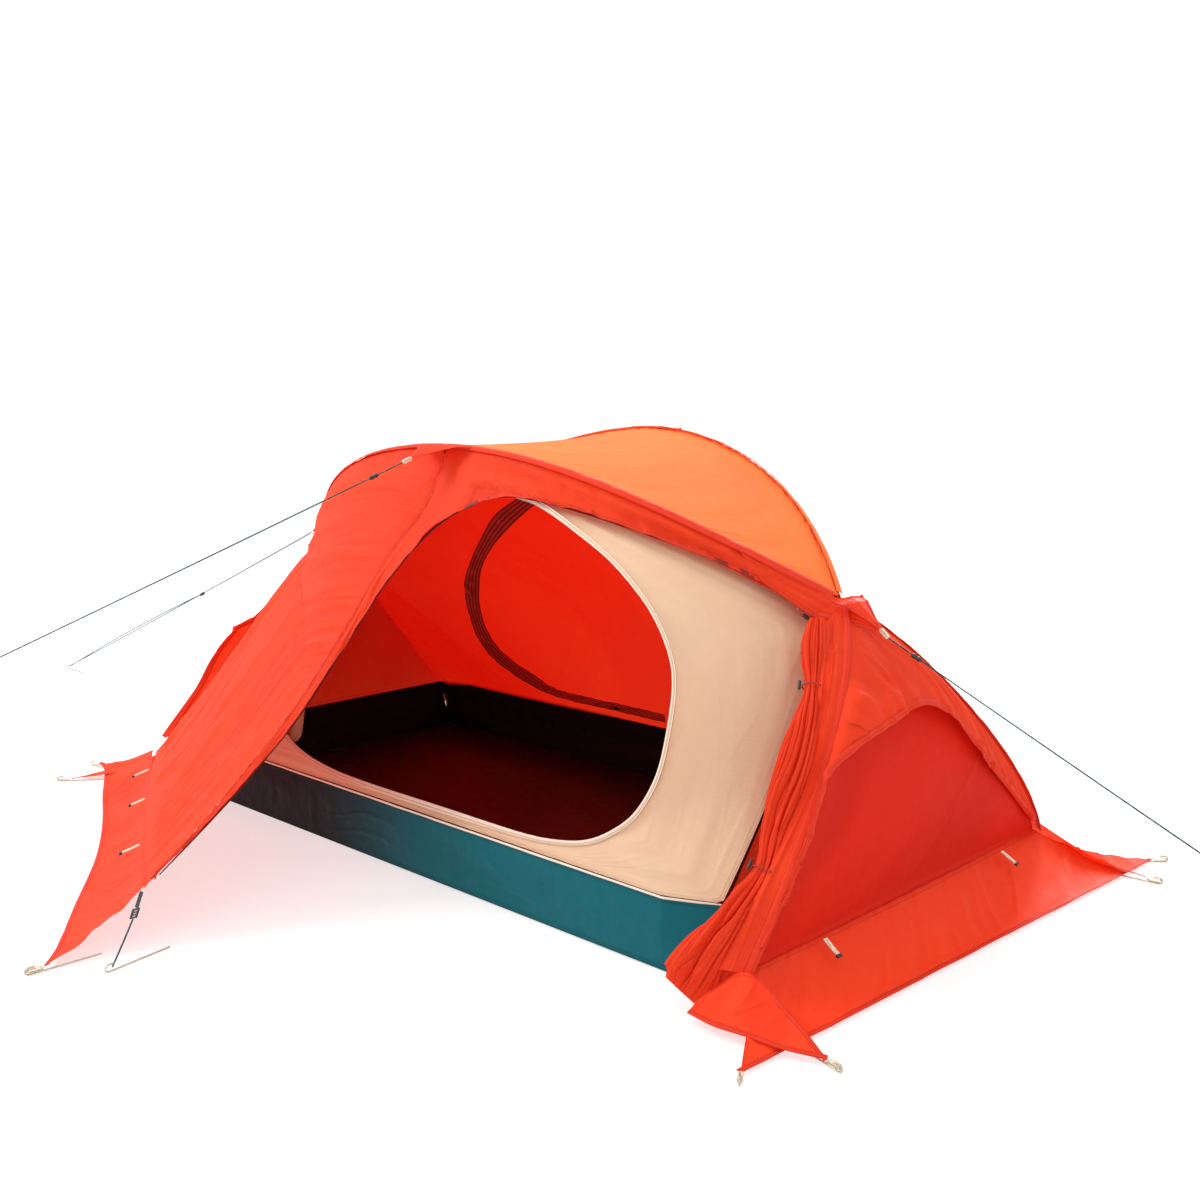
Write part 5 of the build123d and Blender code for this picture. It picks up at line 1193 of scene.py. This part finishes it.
# the end of the fixed band runs on into the right-hand tab
ar = front_arch(np.linspace(0.80, 0.985, 60))
bl_ = resample(smooth([(899, -130, 814), (962, -76, 765), (1005, -84, 739)], 60), q(60))
src = resample(np.vstack([ar[:1], resample(ar, 20)[1:], (1034, -6, 772)]), q(60))
a_, b_, s__, w_ = TABS["right"]
tip = V3(*b_) + V3(0, 0, 9)
G = np.zeros((q(110), q(60), 3))
base_ = np.array([src[0] + (bl_[0] - src[0]) * k for k in np.linspace(0, 1, q(60))])
foot_ = np.array([src[-1] + (bl_[-1] - src[-1]) * k for k in np.linspace(0, 1, q(60))])
for i, t in enumerate(np.linspace(0, 1, q(110))):
    row0 = base_ + (foot_ - base_) * min(1.0, t / 0.55)
    tp = tip + V3(0, -7, -6) * np.linspace(-1, 1, q(60))[:, None] * 0.9
    G[i] = row0 if t <= 0.55 else foot_ + (tp - foot_) * ((t - 0.55) / 0.45)
U, V_ = lengths(G)
fan = np.broadcast_to(np.linspace(0, 80, G.shape[1])[None, :], U.shape)
wv = np.sin(np.pi * np.linspace(0, 1, G.shape[1]))[None, :] * st(1 - U / U[-1:], 0.0, 0.25)
d = wv * (6.0 * soft(fan, U, 13, 200, 311) + 6.5 * crease(fan, U, 10, 180, 312)) + 5
fp = sheetpart(G, d, ref=(0, 0, 300), amp=6.0, edges="r")
parts.append(fp)
parts.append(hempart(fp["P"][:, -1], fp["P"][:, -4] - fp["P"][:, -1], 8, 2.2, mat=1, wob=0.5, seed=313))
o = make("guy_tabs_cloth", parts, ["fly", "fly_edge"], node=["guy_tabs"])

# ---------------------------------------------------------------- finishes of the carried-over CAD nodes
M["alloy"] = hard_mat("pole_anodised_dark_gold", (0.20, 0.13, 0.055), (0.08, 0.05, 0.025), 0.34, 1.0, 22.0, 0.0002, (1, 1, 1), 0.2)
M["peg"] = hard_mat("peg_wire_pale", (0.62, 0.56, 0.46), (0.38, 0.33, 0.26), 0.38, 1.0, 90.0, 0.0003, None, 0.2)
M["plastic"] = hard_mat("moulded_black", (0.016, 0.016, 0.018), (0.034, 0.033, 0.034), 0.42, 0.0, 140.0, 0.0003, None, 0.15)
M["ring"] = hard_mat("grommet_brass", (0.48, 0.36, 0.18), (0.22, 0.16, 0.08), 0.3, 1.0, 120.0, 0.0002, None, 0.2)
M["cream"] = braid_mat("webbing_cream", (0.78, 0.66, 0.50), (0.90, 0.80, 0.66), 2.4, 0.75)
M["dweb"] = braid_mat("webbing_dark", (0.020, 0.024, 0.030), (0.05, 0.06, 0.07), 2.4, 0.7)
M["redweb"] = braid_mat("tie_dark_red", (0.34, 0.030, 0.018), (0.50, 0.06, 0.03), 2.4, 0.7)
M["elastic"] = braid_mat("shock_cord", (0.05, 0.05, 0.05), (0.4, 0.4, 0.38), 2.0, 0.7)
FINISH = {"pole_front": "alloy", "pole_rear": "alloy", "pole_ferrules": "alloy", "pole_tips": "plastic", "shock_cords": "elastic", "corner_straps": "dweb",
          "corner_grommets": "ring", "crossing_ties": "redweb", "inner_hooks": "plastic", "guy_loops": "cream", "peg_loops": "cream", "pull_tabs": "cream",
          "pull_tab_ends": "plastic", "ground_pegs": "peg", "guy_pegs": "peg", "tip_straps": "dweb", "tip_buckles": "plastic", "runner_front": "plastic",
          "runner_left": "plastic", "runner_right": "plastic", "door_zip_slider": "plastic", "rear_zip_slider": "plastic", "inner_zip_slider": "plastic",
          "rear_inner_slider": "plastic", "door_toggle_upper": "plastic", "door_toggle_lower": "plastic", "inner_door_ties": "cream", "door_ties": "redweb"}
for n_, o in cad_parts.items():
    if not o.hide_render:
        o.data.materials.clear()
        o.data.materials.append(M[FINISH[n_]])

# ---------------------------------------------------------------- floor and light
me = bpy.data.meshes.new("floor")
s_ = 30.0
me.from_pydata([(-s_, -s_, -0.001), (s_, -s_, -0.001), (s_, s_, -0.001), (-s_, s_, -0.001)], [], [(0, 1, 2, 3)])
floor = bpy.data.objects.new("floor", me)
scene.collection.objects.link(floor)
m, nt = new_mat("studio_floor")
p = N(nt, "ShaderNodeBsdfPrincipled")
p.inputs["Base Color"].default_value = (0.42, 0.42, 0.42, 1)
p.inputs["Emission Color"].default_value = (1.0, 1.0, 1.0, 1)
p.inputs["Emission Strength"].default_value = 0.62
p.inputs["Roughness"].default_value = 0.9
p.inputs["Specular IOR Level"].default_value = 0.1
nt.links.new(p.outputs[0], N(nt, "ShaderNodeOutputMaterial").inputs[0])
me.materials.append(m)
world = bpy.data.worlds.new("studio")
scene.world = world
world.use_nodes = True
world.node_tree.nodes["Background"].inputs[0].default_value = (1.0, 1.0, 1.0, 1)
world.node_tree.nodes["Background"].inputs[1].default_value = 1.04


def lamp(name, at, to, size, power, col=(1, 1, 1)):
    L_ = bpy.data.lights.new(name, "AREA")
    L_.shape = "SQUARE"
    L_.size = size
    L_.energy = power
    L_.color = col
    o_ = bpy.data.objects.new(name, L_)
    scene.collection.objects.link(o_)
    o_.location = at
    o_.rotation_mode = "QUATERNION"
    o_.rotation_quaternion = (Vector(to) - Vector(at)).to_track_quat("-Z", "Y")
    return o_


lamp("key", (-3.2, -3.4, 4.6), (-0.2, 0, 0.5), 2.6, 215)
lamp("top", (0.4, 1.0, 5.2), (0, 0.2, 0.5), 3.0, 30)
lamp("back", (-1.5, 4.2, 2.6), (-0.1, 0.3, 0.5), 2.4, 380)
